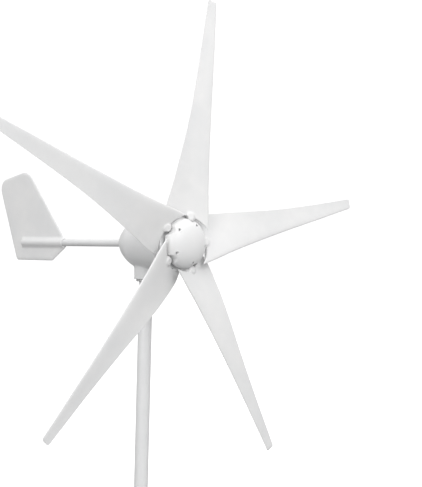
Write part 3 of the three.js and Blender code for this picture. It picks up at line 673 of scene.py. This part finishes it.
def blade_face(side, span, chord_share):
    """Points on one face of the blade: side 1 is the front, -1 the rear.

    span runs from 0 at the inner end to 1 at the tip, chord_share from 0 at the leading edge to 1.
    """
    lead_root = curve_through(LEADING_EDGE, np.full_like(span, ROOT_RADIUS))
    trail_root = curve_through(TRAILING_EDGE, np.full_like(span, ROOT_RADIUS))
    start = inner_end(-(lead_root[:, 0] + (trail_root[:, 0] - lead_root[:, 0]) * chord_share))
    x = start + (ROTOR_RADIUS - start) * span
    lead = curve_through(LEADING_EDGE, x)
    trail = curve_through(TRAILING_EDGE, x)
    chord_y = lead[:, 0] - trail[:, 0]
    chord_z = trail[:, 1] - lead[:, 1]
    chord = np.hypot(chord_y, chord_z)
    along = (x - LEADING_EDGE[0][0]) / (ROTOR_RADIUS - LEADING_EDGE[0][0])
    near_tip = np.clip((x - (ROTOR_RADIUS - TIP_ROUNDING)) / TIP_ROUNDING, 0, 1)
    shrink = np.sqrt(np.maximum(0, 1 - (0.995 * near_tip) ** 2))
    squeezed = 0.5 + (chord_share - 0.5) * (1 + (shrink - 1) * 0.35)
    thick = half_thickness(chord_share, 0.10 + 0.03 * along) * chord + 0.6 * edge_round(chord_share)
    camber = -4 * 0.035 * chord_share * (1 - chord_share) * chord
    out = camber + side * thick * shrink
    y = -lead[:, 0] + chord_y * squeezed - chord_z / chord * out
    z = lead[:, 1] + chord_z * squeezed + chord_y / chord * out
    seat_y, seat_z = to_seat(y, z)
    if side > 0:
        away = np.hypot(x - BOSS_AT[0], seat_y - BOSS_AT[1])
        seat_z += (BOSS_HEIGHT - seat_z) * plateau(away, BOSS_RADIUS - 0.4, 11)
    else:
        away = stadium(x, seat_y, BOSS_AT, OUTER_BOLT, 0)
        seat_z += (0 - seat_z) * plateau(away, BOSS_RADIUS, 14)
    y, z = from_seat(seat_y, seat_z)
    return np.stack([x, y, z], axis=1)


def edge_round(chord_share):
    """The trailing edge's own half thickness, rounded off over its last part."""
    last = np.clip((chord_share - 0.992) / 0.008, 0, 1)
    return chord_share * np.sqrt(1 - last**2)


def blade_shape():
    """The blade as a closed grid: rows along the span, columns round the section."""
    ramp = np.linspace(0, 1, 9)[1:] ** 2 * 0.004
    root = 0.004 + np.linspace(0, 1, 55)[1:] * 0.104
    outer = 0.108 + np.linspace(0, 1, 70)[1:] * 0.877
    tip = 0.985 + np.sin(np.linspace(0, math.pi / 2, 9))[1:] * 0.015
    rows = np.concatenate([[0], ramp, root, outer, tip])
    cosine = 0.5 - 0.5 * np.cos(np.linspace(0, math.pi, 41))
    columns = np.unique(np.concatenate([cosine, np.linspace(0.24, 0.58, 37), [0.994, 0.997, 0.999]]))
    span, chord_share = (grid.ravel() for grid in np.meshgrid(rows, columns, indexing="ij"))
    shape = (len(rows), len(columns), 3)
    front = blade_face(1, span, chord_share).reshape(shape)
    rear = blade_face(-1, span, chord_share).reshape(shape)
    front, rear = round_inner_end(front, rear)
    section = np.concatenate([rear[:, ::-1], front[:, 1:-1]], axis=1)
    count = section.shape[1]
    points = section.reshape(-1, 3)
    faces = []
    for i in range(len(rows) - 1):
        for k in range(count):
            a = i * count + k
            b = i * count + (k + 1) % count
            faces.append([a, b, b + count, a + count])
    wide = len(columns)
    for first in (0, (len(rows) - 1) * count):
        for k in range(wide - 1):
            near = [first + wide - 1 - k, first + wide - 2 - k]
            far = [first + (wide - 1 + k) % count, first + (wide + k) % count]
            faces.append(list(dict.fromkeys([near[0], near[1], far[1], far[0]])))
    return points, faces


def round_inner_end(front, rear):
    """Rounds the two lips of the blade's inner end, over a few millimetres."""
    reach = 2.5
    into = np.clip(front[:, :, 0] - front[:1, :, 0], 0, reach) / reach
    drop = reach * (1 - np.sqrt(1 - (1 - into) ** 2))
    room = np.abs(front[:, :, 2] - rear[:, :, 2])
    drop = np.minimum(drop, 0.42 * room)
    front = front.copy()
    rear = rear.copy()
    front[:, :, 2] -= drop
    rear[:, :, 2] += drop
    return front, rear


def bolt_holes(depth):
    """Cutters for a blade's two bolt holes, from behind the seat to a depth ahead of it."""
    on_seat = shift(0, 0, -SEAT_BEHIND) @ turn(-math.degrees(ROOT_PITCH), "X")
    return [moved(rod(BOLT_HOLE, -40, depth), on_seat @ shift(x, y, 0)) for x, y in (BOSS_AT, OUTER_BOLT)]


def make_blades(material):
    """Five alike blades; the first is shaped, and the others are its copies."""
    first = add_piece(
        "blade-1", blade_shape(), ROTOR_FRAME, "rotor", ["blade_1"], material)
    drill(first, ROTOR_FRAME, *bolt_holes(15))
    shade(first.data, 50)
    for i in range(1, BLADE_COUNT):
        blade = bpy.data.objects.new(f"blade-{i + 1}", first.data.copy())
        bpy.context.scene.collection.objects.link(blade)
        spoke = Matrix.Rotation(-STEP_ANGLE * i, 4, "Z")
        blade.data.transform(ROTOR_FRAME @ spoke @ ROTOR_FRAME.inverted())
        finish_piece(blade, "rotor", [f"blade_{i + 1}"], material, 50)


def spokes(x, y):
    """The same place seen from each of the five spokes, turned back to the first."""
    for i in range(BLADE_COUNT):
        cos = math.cos(STEP_ANGLE * i)
        sin = math.sin(STEP_ANGLE * i)
        yield cos * x + sin * y, cos * y - sin * x


def hex_distance(x, y, across_flats):
    """Signed distance to a hexagon."""
    sides = [np.abs(x * math.cos(a) + y * math.sin(a)) for a in (0, math.pi / 3, 2 * math.pi / 3)]
    return np.maximum.reduce(sides) - across_flats / 2


def from_nose_screw(x, y):
    """Distance from the axis of the first spoke's nose screw."""
    return np.hypot(x - SCREW_CIRCLE * math.cos(SCREW_ANGLE), y - SCREW_CIRCLE * math.sin(SCREW_ANGLE))


def hub_field(x, y, z):
    """The cast hub: a barrel and web with five pitched arms and five posts for the nose cone's screws."""
    solid = smooth_max(np.hypot(x, y) - HUB_RADIUS, between(z, HUB_BACK, HUB_FRONT), 2)
    solid = smooth_min(solid, smooth_max(np.hypot(x, y) - WEB_RADIUS, between(z, *WEB), 1.5), 4)
    for spoke_x, spoke_y in spokes(x, y):
        seat_y, seat_z = to_seat(spoke_y, z)
        arm = smooth_max(stadium(spoke_x, seat_y, (12, -6), OUTER_BOLT, 19),
            between(seat_z, -GAP - ARM_THICKNESS, -GAP), 1.5)
        solid = smooth_min(solid, arm, 6)
        away = from_nose_screw(spoke_x, spoke_y)
        post = smooth_max(away - NOSE_POST_RADIUS, between(z, -36, NOSE_POST), 1)
        solid = smooth_min(solid, post, 3)
        solid = smooth_max(solid, 1.9 - away, 0.4)
    for spoke_x, spoke_y in spokes(x, y):
        seat_y, seat_z = to_seat(spoke_y, z)
        solid = smooth_max(solid, -np.maximum(
            -GAP - seat_z, stadium(spoke_x, seat_y, BOSS_AT, OUTER_BOLT, 14)), 0.6)
        solid = smooth_max(solid, -np.maximum(
            seat_z + GAP + ARM_THICKNESS, stadium(spoke_x, seat_y, BOSS_AT, OUTER_BOLT, 10.5)), 0.6)
        for bolt_x, bolt_y in (BOSS_AT, OUTER_BOLT):
            solid = smooth_max(solid, BOLT_HOLE - np.hypot(spoke_x - bolt_x, seat_y - bolt_y), 0.5)
    return smooth_max(solid, HUB_BORE - np.hypot(x, y), 0.8)


def clamp_field(x, y, z):
    """A blade clamp in the seat's frame: a bar behind the hub arm with two hexagon bolts through it."""
    arm_back = -GAP - ARM_THICKNESS
    flats, head_height = BOLT_HEAD
    head_front = arm_back - 3.2
    head_back = head_front - head_height
    bar = smooth_max(stadium(x, y, BOSS_AT, OUTER_BOLT, 9), between(z, arm_back - 2.3, arm_back - GAP), 0.6)
    for bolt_x, bolt_y in (BOSS_AT, OUTER_BOLT):
        away = np.hypot(x - bolt_x, y - bolt_y)
        shank = smooth_max(away - BOLT_RADIUS, between(z, arm_back - 4, 14), 0.8)
        washer = smooth_max(away - 7.4, between(z, arm_back - 3.5, arm_back - 2), 0.4)
        head = np.maximum(hex_distance(x - bolt_x, y - bolt_y, flats), between(z, head_back, head_front))
        chamfer = away * 0.5 - (z - head_back) * 0.86 - 3.2
        bar = np.minimum(np.minimum(bar, shank), washer)
        bar = smooth_min(bar, smooth_max(head, chamfer, 0.5), 0.4)
    return bar


def nose_field(x, y, z):
    """The nose cone: a shallow dome with five notches for the blades' bosses and five sunk screws."""
    wall = 3
    outer = dome(x, y, z, NOSE_RADIUS, NOSE_LENGTH)
    inner = dome(x, y, z, NOSE_RADIUS - wall, NOSE_LENGTH - wall)
    for spoke_x, spoke_y in spokes(x, y):
        notch = NOTCH_RADIUS - np.hypot(spoke_x - NOTCH_AT[0], spoke_y - NOTCH_AT[1])
        outer = smooth_max(outer, notch, 2.5)
        inner = smooth_max(inner, notch + wall, 2)
    shell = smooth_max(outer, -inner, 0.8)
    for spoke_x, spoke_y in spokes(x, y):
        away = from_nose_screw(spoke_x, spoke_y)
        pillar = np.maximum(smooth_max(away - 6, NOSE_POST + GAP - z, 0.5), outer)
        shell = smooth_min(shell, pillar, 1.5)
        well = smooth_max(away - NOSE_SCREW_WELL, NOSE_SCREW_SEAT - z, 0.3)
        shell = smooth_max(smooth_max(shell, -well, 0.8), 2.3 - away, 0.3)
    return smooth_max(shell, NOSE_BACK - z, 0.8)


def dome(x, y, z, radius, length):
    """Rough distance to a dome: a cylinder up to its rim, then a slightly squared ellipse."""
    roundness = 2.25
    out = np.hypot(x, y) / radius
    up = np.maximum(z - NOSE_RIM, 0) / length
    size = np.maximum(out**roundness + up**roundness, 1e-6) ** (1 / roundness)
    slope = np.hypot((out / size) ** (roundness - 1) / radius, (up / size) ** (roundness - 1) / length)
    return (size - 1) / np.maximum(slope, 1e-4)


def screw_field(head_radius, head_height, shank_radius, shank_length, socket):
    """A pan-head screw with a hexagon socket: its head stands on Z = 0 and its shank goes down."""
    crown_radius = math.hypot(head_radius * 0.55, head_height * 1.6)
    pitch = 0.8

    def field(x, y, z):
        away = np.hypot(x, y)
        crown = np.sqrt(away**2 + (z + head_height * 0.6) ** 2) - crown_radius
        head = smooth_max(smooth_max(away - head_radius, between(z, 0, head_height), 0.5), crown, 0.5)
        drive = np.maximum(hex_distance(x, y, socket), head_height * 0.4 - z)
        head = smooth_max(head, -drive, 0.15)
        thread = 0.08 * np.sin(z * 2 * math.pi / pitch)
        shank = smooth_max(away - shank_radius + thread, between(z, -shank_length, 0.2), 0.3)
        return smooth_min(head, shank, 0.3)

    return field


def screw_shape(head_radius, head_height, shank_radius, shank_length, socket=2.5):
    field = screw_field(head_radius, head_height, shank_radius, shank_length, socket)
    room = 0.5
    reach = head_radius + room
    low = (-reach, -reach, -shank_length - room)
    high = (reach, reach, head_height + room)
    return field_surface(field, low, high, 0.32)


def make_rotor_parts(paint, plastic, zinc):
    hub = field_surface(hub_field, (-122, -122, -58), (122, 122, -8), 1.15)
    add_piece("hub-casting", hub, ROTOR_FRAME, "rotor", ["hub"], paint, 60)
    nose = field_surface(nose_field, (-67, -67, -18), (67, 67, 23), 0.8)
    add_piece("nose-dome", nose, ROTOR_FRAME, "rotor", ["nose_cone"], plastic, 60)
    clamp = field_surface(clamp_field, (63, -24, -18), (111, 3, 15), 0.5)
    on_seat = Matrix.Translation((0, 0, -SEAT_BEHIND * MM)) @ turn(-math.degrees(ROOT_PITCH), "X")
    screw = screw_shape(NOSE_SCREW_HEAD, head_height=2.4, shank_radius=1.6, shank_length=28)
    for i in range(BLADE_COUNT):
        spoke = ROTOR_FRAME @ Matrix.Rotation(-STEP_ANGLE * i, 4, "Z")
        add_piece(f"blade-clamp-{i + 1}", clamp, spoke @ on_seat, "rotor", [f"blade_clamp_{i + 1}"],
            zinc)
        angle = SCREW_ANGLE + STEP_ANGLE * i
        x = SCREW_CIRCLE * math.cos(angle)
        y = SCREW_CIRCLE * math.sin(angle)
        place = Vector((x, y, NOSE_SCREW_SEAT + GAP)) * MM
        add_piece(f"nose-screw-{i + 1}", screw, ROTOR_FRAME @ Matrix.Translation(place), "rotor",
            [f"nose_screw_{i + 1}"], zinc)


# ---------------------------------------------------------------- nacelle
# The nacelle's frame has Z forward from the yaw axis along the rotor axis, and Y up.

NACELLE_RADIUS = 70
NACELLE_FRONT = 100
SHOULDER = -15
TAIL_LENGTH = 97
TAIL_FULLNESS = 1.3
GENERATOR_BAY = 62.5  # radius
REAR_BEARING_SEAT = 17.8  # radius
YAW_BEARING_SEAT = 26.3  # radius
NECK_RADIUS = 32
NECK_DROP = 98
BOOM_RADIUS = 10.4
BOOM_WALL = 1.8
BOOM_END = -600
BOOM_FRONT = -42
BOOM_SCREW_AT = -85
SET_SCREW_HOLE = 3.3  # radius
COVER_SCREW_CIRCLE = 66.2
COVER_SCREW_SEAT = 106
THREADED_HOLE = 2.3  # radius
SLEEVE_RADIUS = 13
SLEEVE_FRONT = -384
VANE_THICK = 3.2  # half
VANE_EDGE = 11  # width of the soft edge
VANE_SCREWS = (-430, -560)

# The vane's outline, as corners of [behind the yaw axis, above the rotor axis, radius].
VANE_OUTLINE = [
    (378, -14, 12), (385, 13, 12), (583, 222, 70), (746, 192, 30), (633, -54.5, 16), (444, -54, 14),
]


def revolved(x, y, z, radius, tail):
    """Rough distance to the nacelle's body of revolution: a drum that draws in to a pointed tail."""
    n = TAIL_FULLNESS
    out = np.hypot(x, y) / radius
    back = np.maximum(SHOULDER - z, 0) / tail
    size = np.maximum(out**n + back**n, 1e-6) ** (1 / n)
    slope = np.hypot((out / size) ** (n - 1) / radius, (back / size) ** (n - 1) / tail)
    return (size - 1) / np.maximum(slope, 1e-4)


def shell_field(x, y, z):
    """The nacelle casting: drum and tail, neck with its bearing seats, bulkhead and boom socket."""
    around = np.hypot(x, y)
    across = np.hypot(x, z)  # from the yaw axis
    outside = smooth_max(revolved(x, y, z, NACELLE_RADIUS, TAIL_LENGTH), z - NACELLE_FRONT, 1.5)
    neck = smooth_max(across - NECK_RADIUS, between(y, -NECK_DROP, -30), 2)
    outside = smooth_min(outside, neck, 7)
    tail_bay = smooth_max(revolved(x, y, z, NACELLE_RADIUS - 5, TAIL_LENGTH - 12), z - 17, 2)
    generator_bay = smooth_max(around - GENERATOR_BAY, 22 - z, 1)
    solid = smooth_max(smooth_max(outside, -tail_bay, 1), -generator_bay, 1)
    socket = np.maximum(smooth_max(around - 16, between(z, -TAIL_LENGTH, BOOM_FRONT + 2), 2), outside)
    neck_boss = np.maximum(smooth_max(across - NECK_RADIUS, between(y, -NECK_DROP, -48), 2), outside)
    bearing_boss = smooth_max(around - 24, between(z, 20, 36), 1)
    for boss in (socket, neck_boss, bearing_boss):
        solid = smooth_min(solid, boss, 3)
    bores = (
        np.maximum(around - 13, between(z, 10, 45)),  # the rotor shaft's way
        np.maximum(around - REAR_BEARING_SEAT, 23.7 - z),
        np.maximum(around - BOOM_RADIUS - GAP, z - BOOM_FRONT),
        np.maximum(np.hypot(x, z - BOOM_SCREW_AT) - SET_SCREW_HOLE, between(y, -60, 0)),
        np.maximum(across - YAW_BEARING_SEAT, y + 80.5),
        np.maximum(across - 21, between(y, -110, -40)),  # the yaw shaft's way
        np.maximum(across - YAW_BEARING_SEAT, between(y, -66.3, -40)),
        np.maximum(np.hypot(x - 45, y - 20) - 5, between(z, 10, 30)),  # the stator leads' way
    )
    for bore in bores:
        solid = smooth_max(solid, -bore, 0.8)
    return solid


def front_cover_outline():
    """Half section of the front cover: flange, spigot, dished face and bearing housing."""
    flange = NACELLE_FRONT + GAP
    return rounded([
        (20.3, 94, 0.6), (26, 94, 1), (26, flange, 2), (57, flange, 1), (57, 93, 0.6), (62.2, 93, 0.6),
        (62.2, flange, 0.3), (NACELLE_RADIUS, flange, 0.6), (NACELLE_RADIUS, COVER_SCREW_SEAT, 2),
        (61.5, COVER_SCREW_SEAT, 2), (54, 111, 6), (27, 116, 3), (15.3, 116, 0.6), (15.3, 108.3, 0.3),
        (20.3, 108.3, 0.3),
    ])


def cover_screw_places():
    angles = [math.tau * (i + 0.5) / 4 for i in range(4)]
    return [(COVER_SCREW_CIRCLE * math.cos(a), COVER_SCREW_CIRCLE * math.sin(a)) for a in angles]


def outline_distance(x, y, outline):
    """Signed distance to a closed outline, negative inside."""
    nearest = np.full(np.shape(x), np.inf)
    inside = np.zeros(np.shape(x), bool)
    for (x0, y0), (x1, y1) in zip(outline, np.roll(outline, -1, axis=0)):
        run_x, run_y = x1 - x0, y1 - y0
        length_squared = run_x**2 + run_y**2
        if length_squared < 1e-9:
            continue
        share = np.clip(((x - x0) * run_x + (y - y0) * run_y) / length_squared, 0, 1)
        nearest = np.minimum(nearest, (x - x0 - share * run_x) ** 2 + (y - y0 - share * run_y) ** 2)
        if run_y != 0:
            crosses = ((y0 > y) != (y1 > y)) & (x < x0 + (y - y0) / run_y * run_x)
            inside ^= crosses
    return np.where(inside, -1, 1) * np.sqrt(nearest)


def vane_field_for(outline):
    """The moulded vane: a thin plate with soft edges, and a sleeve round the boom's end."""

    def field(x, y, z):
        inside = -outline_distance(-z, y, outline)
        in_from_edge = np.clip(1 - inside / VANE_EDGE, 0, None)
        size = np.sqrt(in_from_edge**2 + (x / VANE_THICK) ** 2)
        slope = np.hypot(in_from_edge / VANE_EDGE, x / VANE_THICK**2) / np.maximum(size, 1e-6)
        blade = (size - 1) / np.maximum(slope, 0.05)
        around = np.hypot(x, y)
        sleeve = smooth_max(around - SLEEVE_RADIUS, between(z, BOOM_END, SLEEVE_FRONT), 5)
        solid = smooth_min(blade, sleeve, 7)
        bore = np.maximum(around - BOOM_RADIUS - GAP, BOOM_END + 5.7 - z)
        solid = smooth_max(solid, -bore, 0.8)
        for screw_z in VANE_SCREWS:
            solid = smooth_max(solid, -np.maximum(np.hypot(y, z - screw_z) - THREADED_HOLE, -x), 0.5)
        return solid

    return field


def make_nacelle_parts(paint, plastic, zinc, black_rubber):
    shell = field_surface(shell_field, (-72, -100, -112), (72, 72, 102), 1.5)
    add_piece(
        "nacelle-casting", shell, NACELLE_FRAME, "nacelle", ["nacelle_shell"], paint, 60)

    cover = add_piece("front-cover", lathe(front_cover_outline(), 128), NACELLE_FRAME, "nacelle",
        ["front_cover"], paint)
    hole = rod(THREADED_HOLE, 90, 120)
    drill(cover, NACELLE_FRAME, *[moved(hole, shift(x, y, 0)) for x, y in cover_screw_places()])
    shade(cover.data, 40)
    screw = screw_shape(head_radius=3.6, head_height=3.2, shank_radius=2, shank_length=18, socket=3)
    for i, (x, y) in enumerate(cover_screw_places()):
        place = Vector((x, y, COVER_SCREW_SEAT + GAP)) * MM
        add_piece(f"cover-screw-{i + 1}", screw, NACELLE_FRAME @ Matrix.Translation(place), "nacelle",
            [f"cover_screw_{i + 1}"], zinc)

    seal = rounded([
        (10.7, 109, 0.4), (15, 109, 0.6), (15, 115.5, 0.8), (12.5, 115.5, 0.4), (11.6, 113.5, 0.4),
        (10.7, 112.5, 0.3)])
    add_piece(
        "shaft-seal", lathe(seal, 64), NACELLE_FRAME, "nacelle", ["shaft_seal"], black_rubber)
    yaw_seal = rounded([(15.4, -97.8, 0.5), (26, -97.8, 0.6), (26, -96, 0.4), (15.4, -96, 0.4)])
    add_piece("yaw-seal", lathe(yaw_seal, 64), HEAD_FRAME, "nacelle", ["yaw_seal"], black_rubber)

    boom = rounded([
        (BOOM_RADIUS - BOOM_WALL, BOOM_END + 6, 0.5), (BOOM_RADIUS, BOOM_END + 6, 0.5),
        (BOOM_RADIUS, BOOM_FRONT - GAP, 0.5), (BOOM_RADIUS - BOOM_WALL, BOOM_FRONT - GAP, 0.5)])
    add_piece("tail-boom", lathe(boom, 72), NACELLE_FRAME, "nacelle", ["tail_boom"], paint)

    vane = field_surface(
        vane_field_for(rounded(VANE_OUTLINE, 10)), (-13.5, -55, -747), (13.5, 222, -379), 1.5)
    add_piece("vane", vane, NACELLE_FRAME, "nacelle", ["tail_vane"], plastic, 60)
    screw = screw_shape(head_radius=4, head_height=2.5, shank_radius=1.7, shank_length=2.2)
    for i, z in enumerate(VANE_SCREWS):
        place = NACELLE_FRAME @ Matrix.Translation(Vector((SLEEVE_RADIUS + 0.1, 0, z)) * MM) @ turn(90, "Y")
        add_piece(
            f"vane-screw-{i + 1}", screw, place, "nacelle", [f"vane_screw_{i + 1}"], zinc)


# ---------------------------------------------------------------- mast
# The head's frame has Z up from the rotor axis, and the foot's frame is the row frame.

MAST_RADIUS = 19
MAST_WALL = 3
MAST_TOP = -105.3
MAST_SCREWS = (-130, -158)
CABLE_HOLE = 110
FOOT_RADIUS = 80
FOOT_THICK = 8
FOOT_COLLAR = 27
FOOT_COLLAR_HEIGHT = 55
FOOT_BOLT_CIRCLE = 62.5  # radius
FOOT_SCREW_HEIGHT = 30


def foot_field(x, y, z):
    """The cast foot: a round flange with four bolt holes, a collar for the mast and four ribs."""
    around = np.hypot(x, y)
    solid = smooth_max(around - FOOT_RADIUS, between(z, 0, FOOT_THICK), 2.5)
    collar = smooth_max(around - FOOT_COLLAR, between(z, 1, FOOT_COLLAR_HEIGHT), 2)
    solid = smooth_min(solid, collar, 5)
    for along, across in ((x, y), (y, x)):
        reach = np.abs(along)
        slanted = (reach - 25) * 0.614 + (z - 46) * 0.789  # the rib's sloping top, from collar to rim
        rib = smooth_max(smooth_max(np.abs(across) - 3, slanted, 1.5), between(reach, 15, 70), 1.5)
        solid = smooth_min(solid, np.maximum(rib, 0.5 - z), 3)
    hole_at = FOOT_BOLT_CIRCLE * math.sqrt(0.5)
    nearest_hole = np.hypot(np.abs(x) - hole_at, np.abs(y) - hole_at)
    solid = smooth_max(solid, 5.5 - nearest_hole, 1)
    diagonal = (x + y) * math.sqrt(0.5)
    sideways = (y - x) * math.sqrt(0.5)
    screw_hole = np.maximum(np.hypot(sideways, z - FOOT_SCREW_HEIGHT) - SET_SCREW_HOLE, diagonal + 15)
    solid = smooth_max(solid, -screw_hole, 0.5)
    solid = smooth_max(solid, -np.maximum(around - MAST_RADIUS - GAP, 1 - z), 0.8)
    return smooth_max(solid, -z, 0.8)


def make_mast_parts(paint, bare_steel, zinc, black_rubber):
    foot = field_surface(foot_field, (-81, -81, -1), (81, 81, 56), 1.0)
    add_piece("foot-casting", foot, FOOT_FRAME, "mast", ["mast_foot"], paint, 50)

    top = ROTOR_CENTRE.z / MM + MAST_TOP
    tube = rounded([
        (MAST_RADIUS - MAST_WALL, FOOT_THICK + GAP, 0.6), (MAST_RADIUS, FOOT_THICK + GAP, 0.6),
        (MAST_RADIUS, top, 0.6), (MAST_RADIUS - MAST_WALL, top, 0.6)])
    mast = add_piece("mast-tube", lathe(tube, 96), FOOT_FRAME, "mast", ["mast_tube"], paint)
    cable_way = moved(rod(7.3, -25, -5), shift(0, 0, CABLE_HOLE) @ turn(90, "X"))
    screw_way = moved(rod(3.4, 10, 25), turn(90, "Y"))
    screw_ways = [moved(screw_way, shift(0, 0, ROTOR_CENTRE.z / MM + z)) for z in MAST_SCREWS]
    drill(mast, FOOT_FRAME, cable_way, *screw_ways)
    shade(mast.data, 40)

    grommet = rounded([
        (4.5, 15, 0.5), (6.7, 15, 0.5), (6.7, 19.3, 0.3), (10, 19.3, 0.4), (10, 21.5, 1.0), (6, 21.5, 0.8),
        (4.5, 20.2, 0.6)])
    place = Matrix.Translation((0, 0, CABLE_HOLE * MM)) @ turn(-90, "X")
    add_piece("cable-grommet", lathe(grommet, 48), place, "mast", ["cable_grommet"], black_rubber)

    shaft = rounded([
        (6, -175, 0.5), (14.7, -175, 1), (15.7, -174, 0.5), (15.7, -105, 0.5), (27, -105, 1.2),
        (27, -99, 1.2), (15, -99, 0.8), (15, -95.6, 0.2), (12.5, -95.6, 0.2), (12.5, -51, 0.4),
        (9, -51, 0.3), (9, 2, 0.6), (6, 2, 0.6)])
    add_piece("yaw-shaft", lathe(shaft, 96), HEAD_FRAME, "mast", ["yaw_shaft"], bare_steel)

    bolt = screw_shape(head_radius=4.5, head_height=3.7, shank_radius=2.4, shank_length=10, socket=3)
    for i, z in enumerate(MAST_SCREWS):
        place = HEAD_FRAME @ Matrix.Translation(Vector((MAST_RADIUS + GAP, 0, z)) * MM) @ turn(90, "Y")
        add_piece(
            f"mast-screw-{i + 1}", bolt, place, "mast", [f"mast_set_screw_{i + 1}"], zinc)


# ---------------------------------------------------------------- what stays as CAD


CRISP_ANGLE = 32  # degrees; CAD edges sharper than that are softened


def dress_cad_nodes(finishes):
    """Materials, smooth shading and softened edges for the CAD nodes that are kept as they are."""
    for slot, node_names in KEPT_NODES.items():
        for name in node_names:
            node = frame["nodes"][name]
            node.data.materials.clear()
            node.data.materials.append(finishes[slot])
            shade(node.data, CRISP_ANGLE)
            bevel = node.modifiers.new("soft_edges", "BEVEL")
            bevel.width = 0.25 * MM
            bevel.segments = 2
            bevel.limit_method = "ANGLE"
            bevel.angle_limit = math.radians(CRISP_ANGLE)


KEPT_NODES = {
    "steel": [
        "main_shaft", "front_bearing_inner", "front_bearing_outer", "rear_bearing_inner",
        "rear_bearing_outer", "yaw_bearing_lower_inner", "yaw_bearing_lower_outer",
        "yaw_bearing_upper_inner", "yaw_bearing_upper_outer",
    ],
    "fasteners": ["hub_nut", "foot_set_screw", "boom_set_screw"],
    "laminations": ["stator_core", "rotor_core"],
    "winding_copper": ["stator_winding"],
    "magnet_nickel": ["magnet_ring"],
    "black_plastic": ["stator_leads", "brush_holder", "slip_ring_sleeve"],
    "ring_brass": ["slip_ring_1", "slip_ring_2", "slip_ring_3"],
    "carbon": ["brush_1", "brush_2", "brush_3"],
}

# ---------------------------------------------------------------- the scene

make_camera()
make_studio()
plastic = white_plastic()
paint = white_paint()
bare_steel = steel()
zinc = zinc_plate()
black_rubber = rubber()
make_blades(plastic)
make_rotor_parts(paint, plastic, zinc)
make_nacelle_parts(paint, plastic, zinc, black_rubber)
make_mast_parts(paint, bare_steel, zinc, black_rubber)
dress_cad_nodes({
    "steel": bare_steel,
    "fasteners": zinc,
    "laminations": laminations(),
    "winding_copper": winding_copper(),
    "magnet_nickel": magnet_nickel(),
    "black_plastic": black_plastic(),
    "ring_brass": ring_brass(),
    "carbon": carbon(),
})

bpy.context.scene.view_settings.view_transform = "Standard"
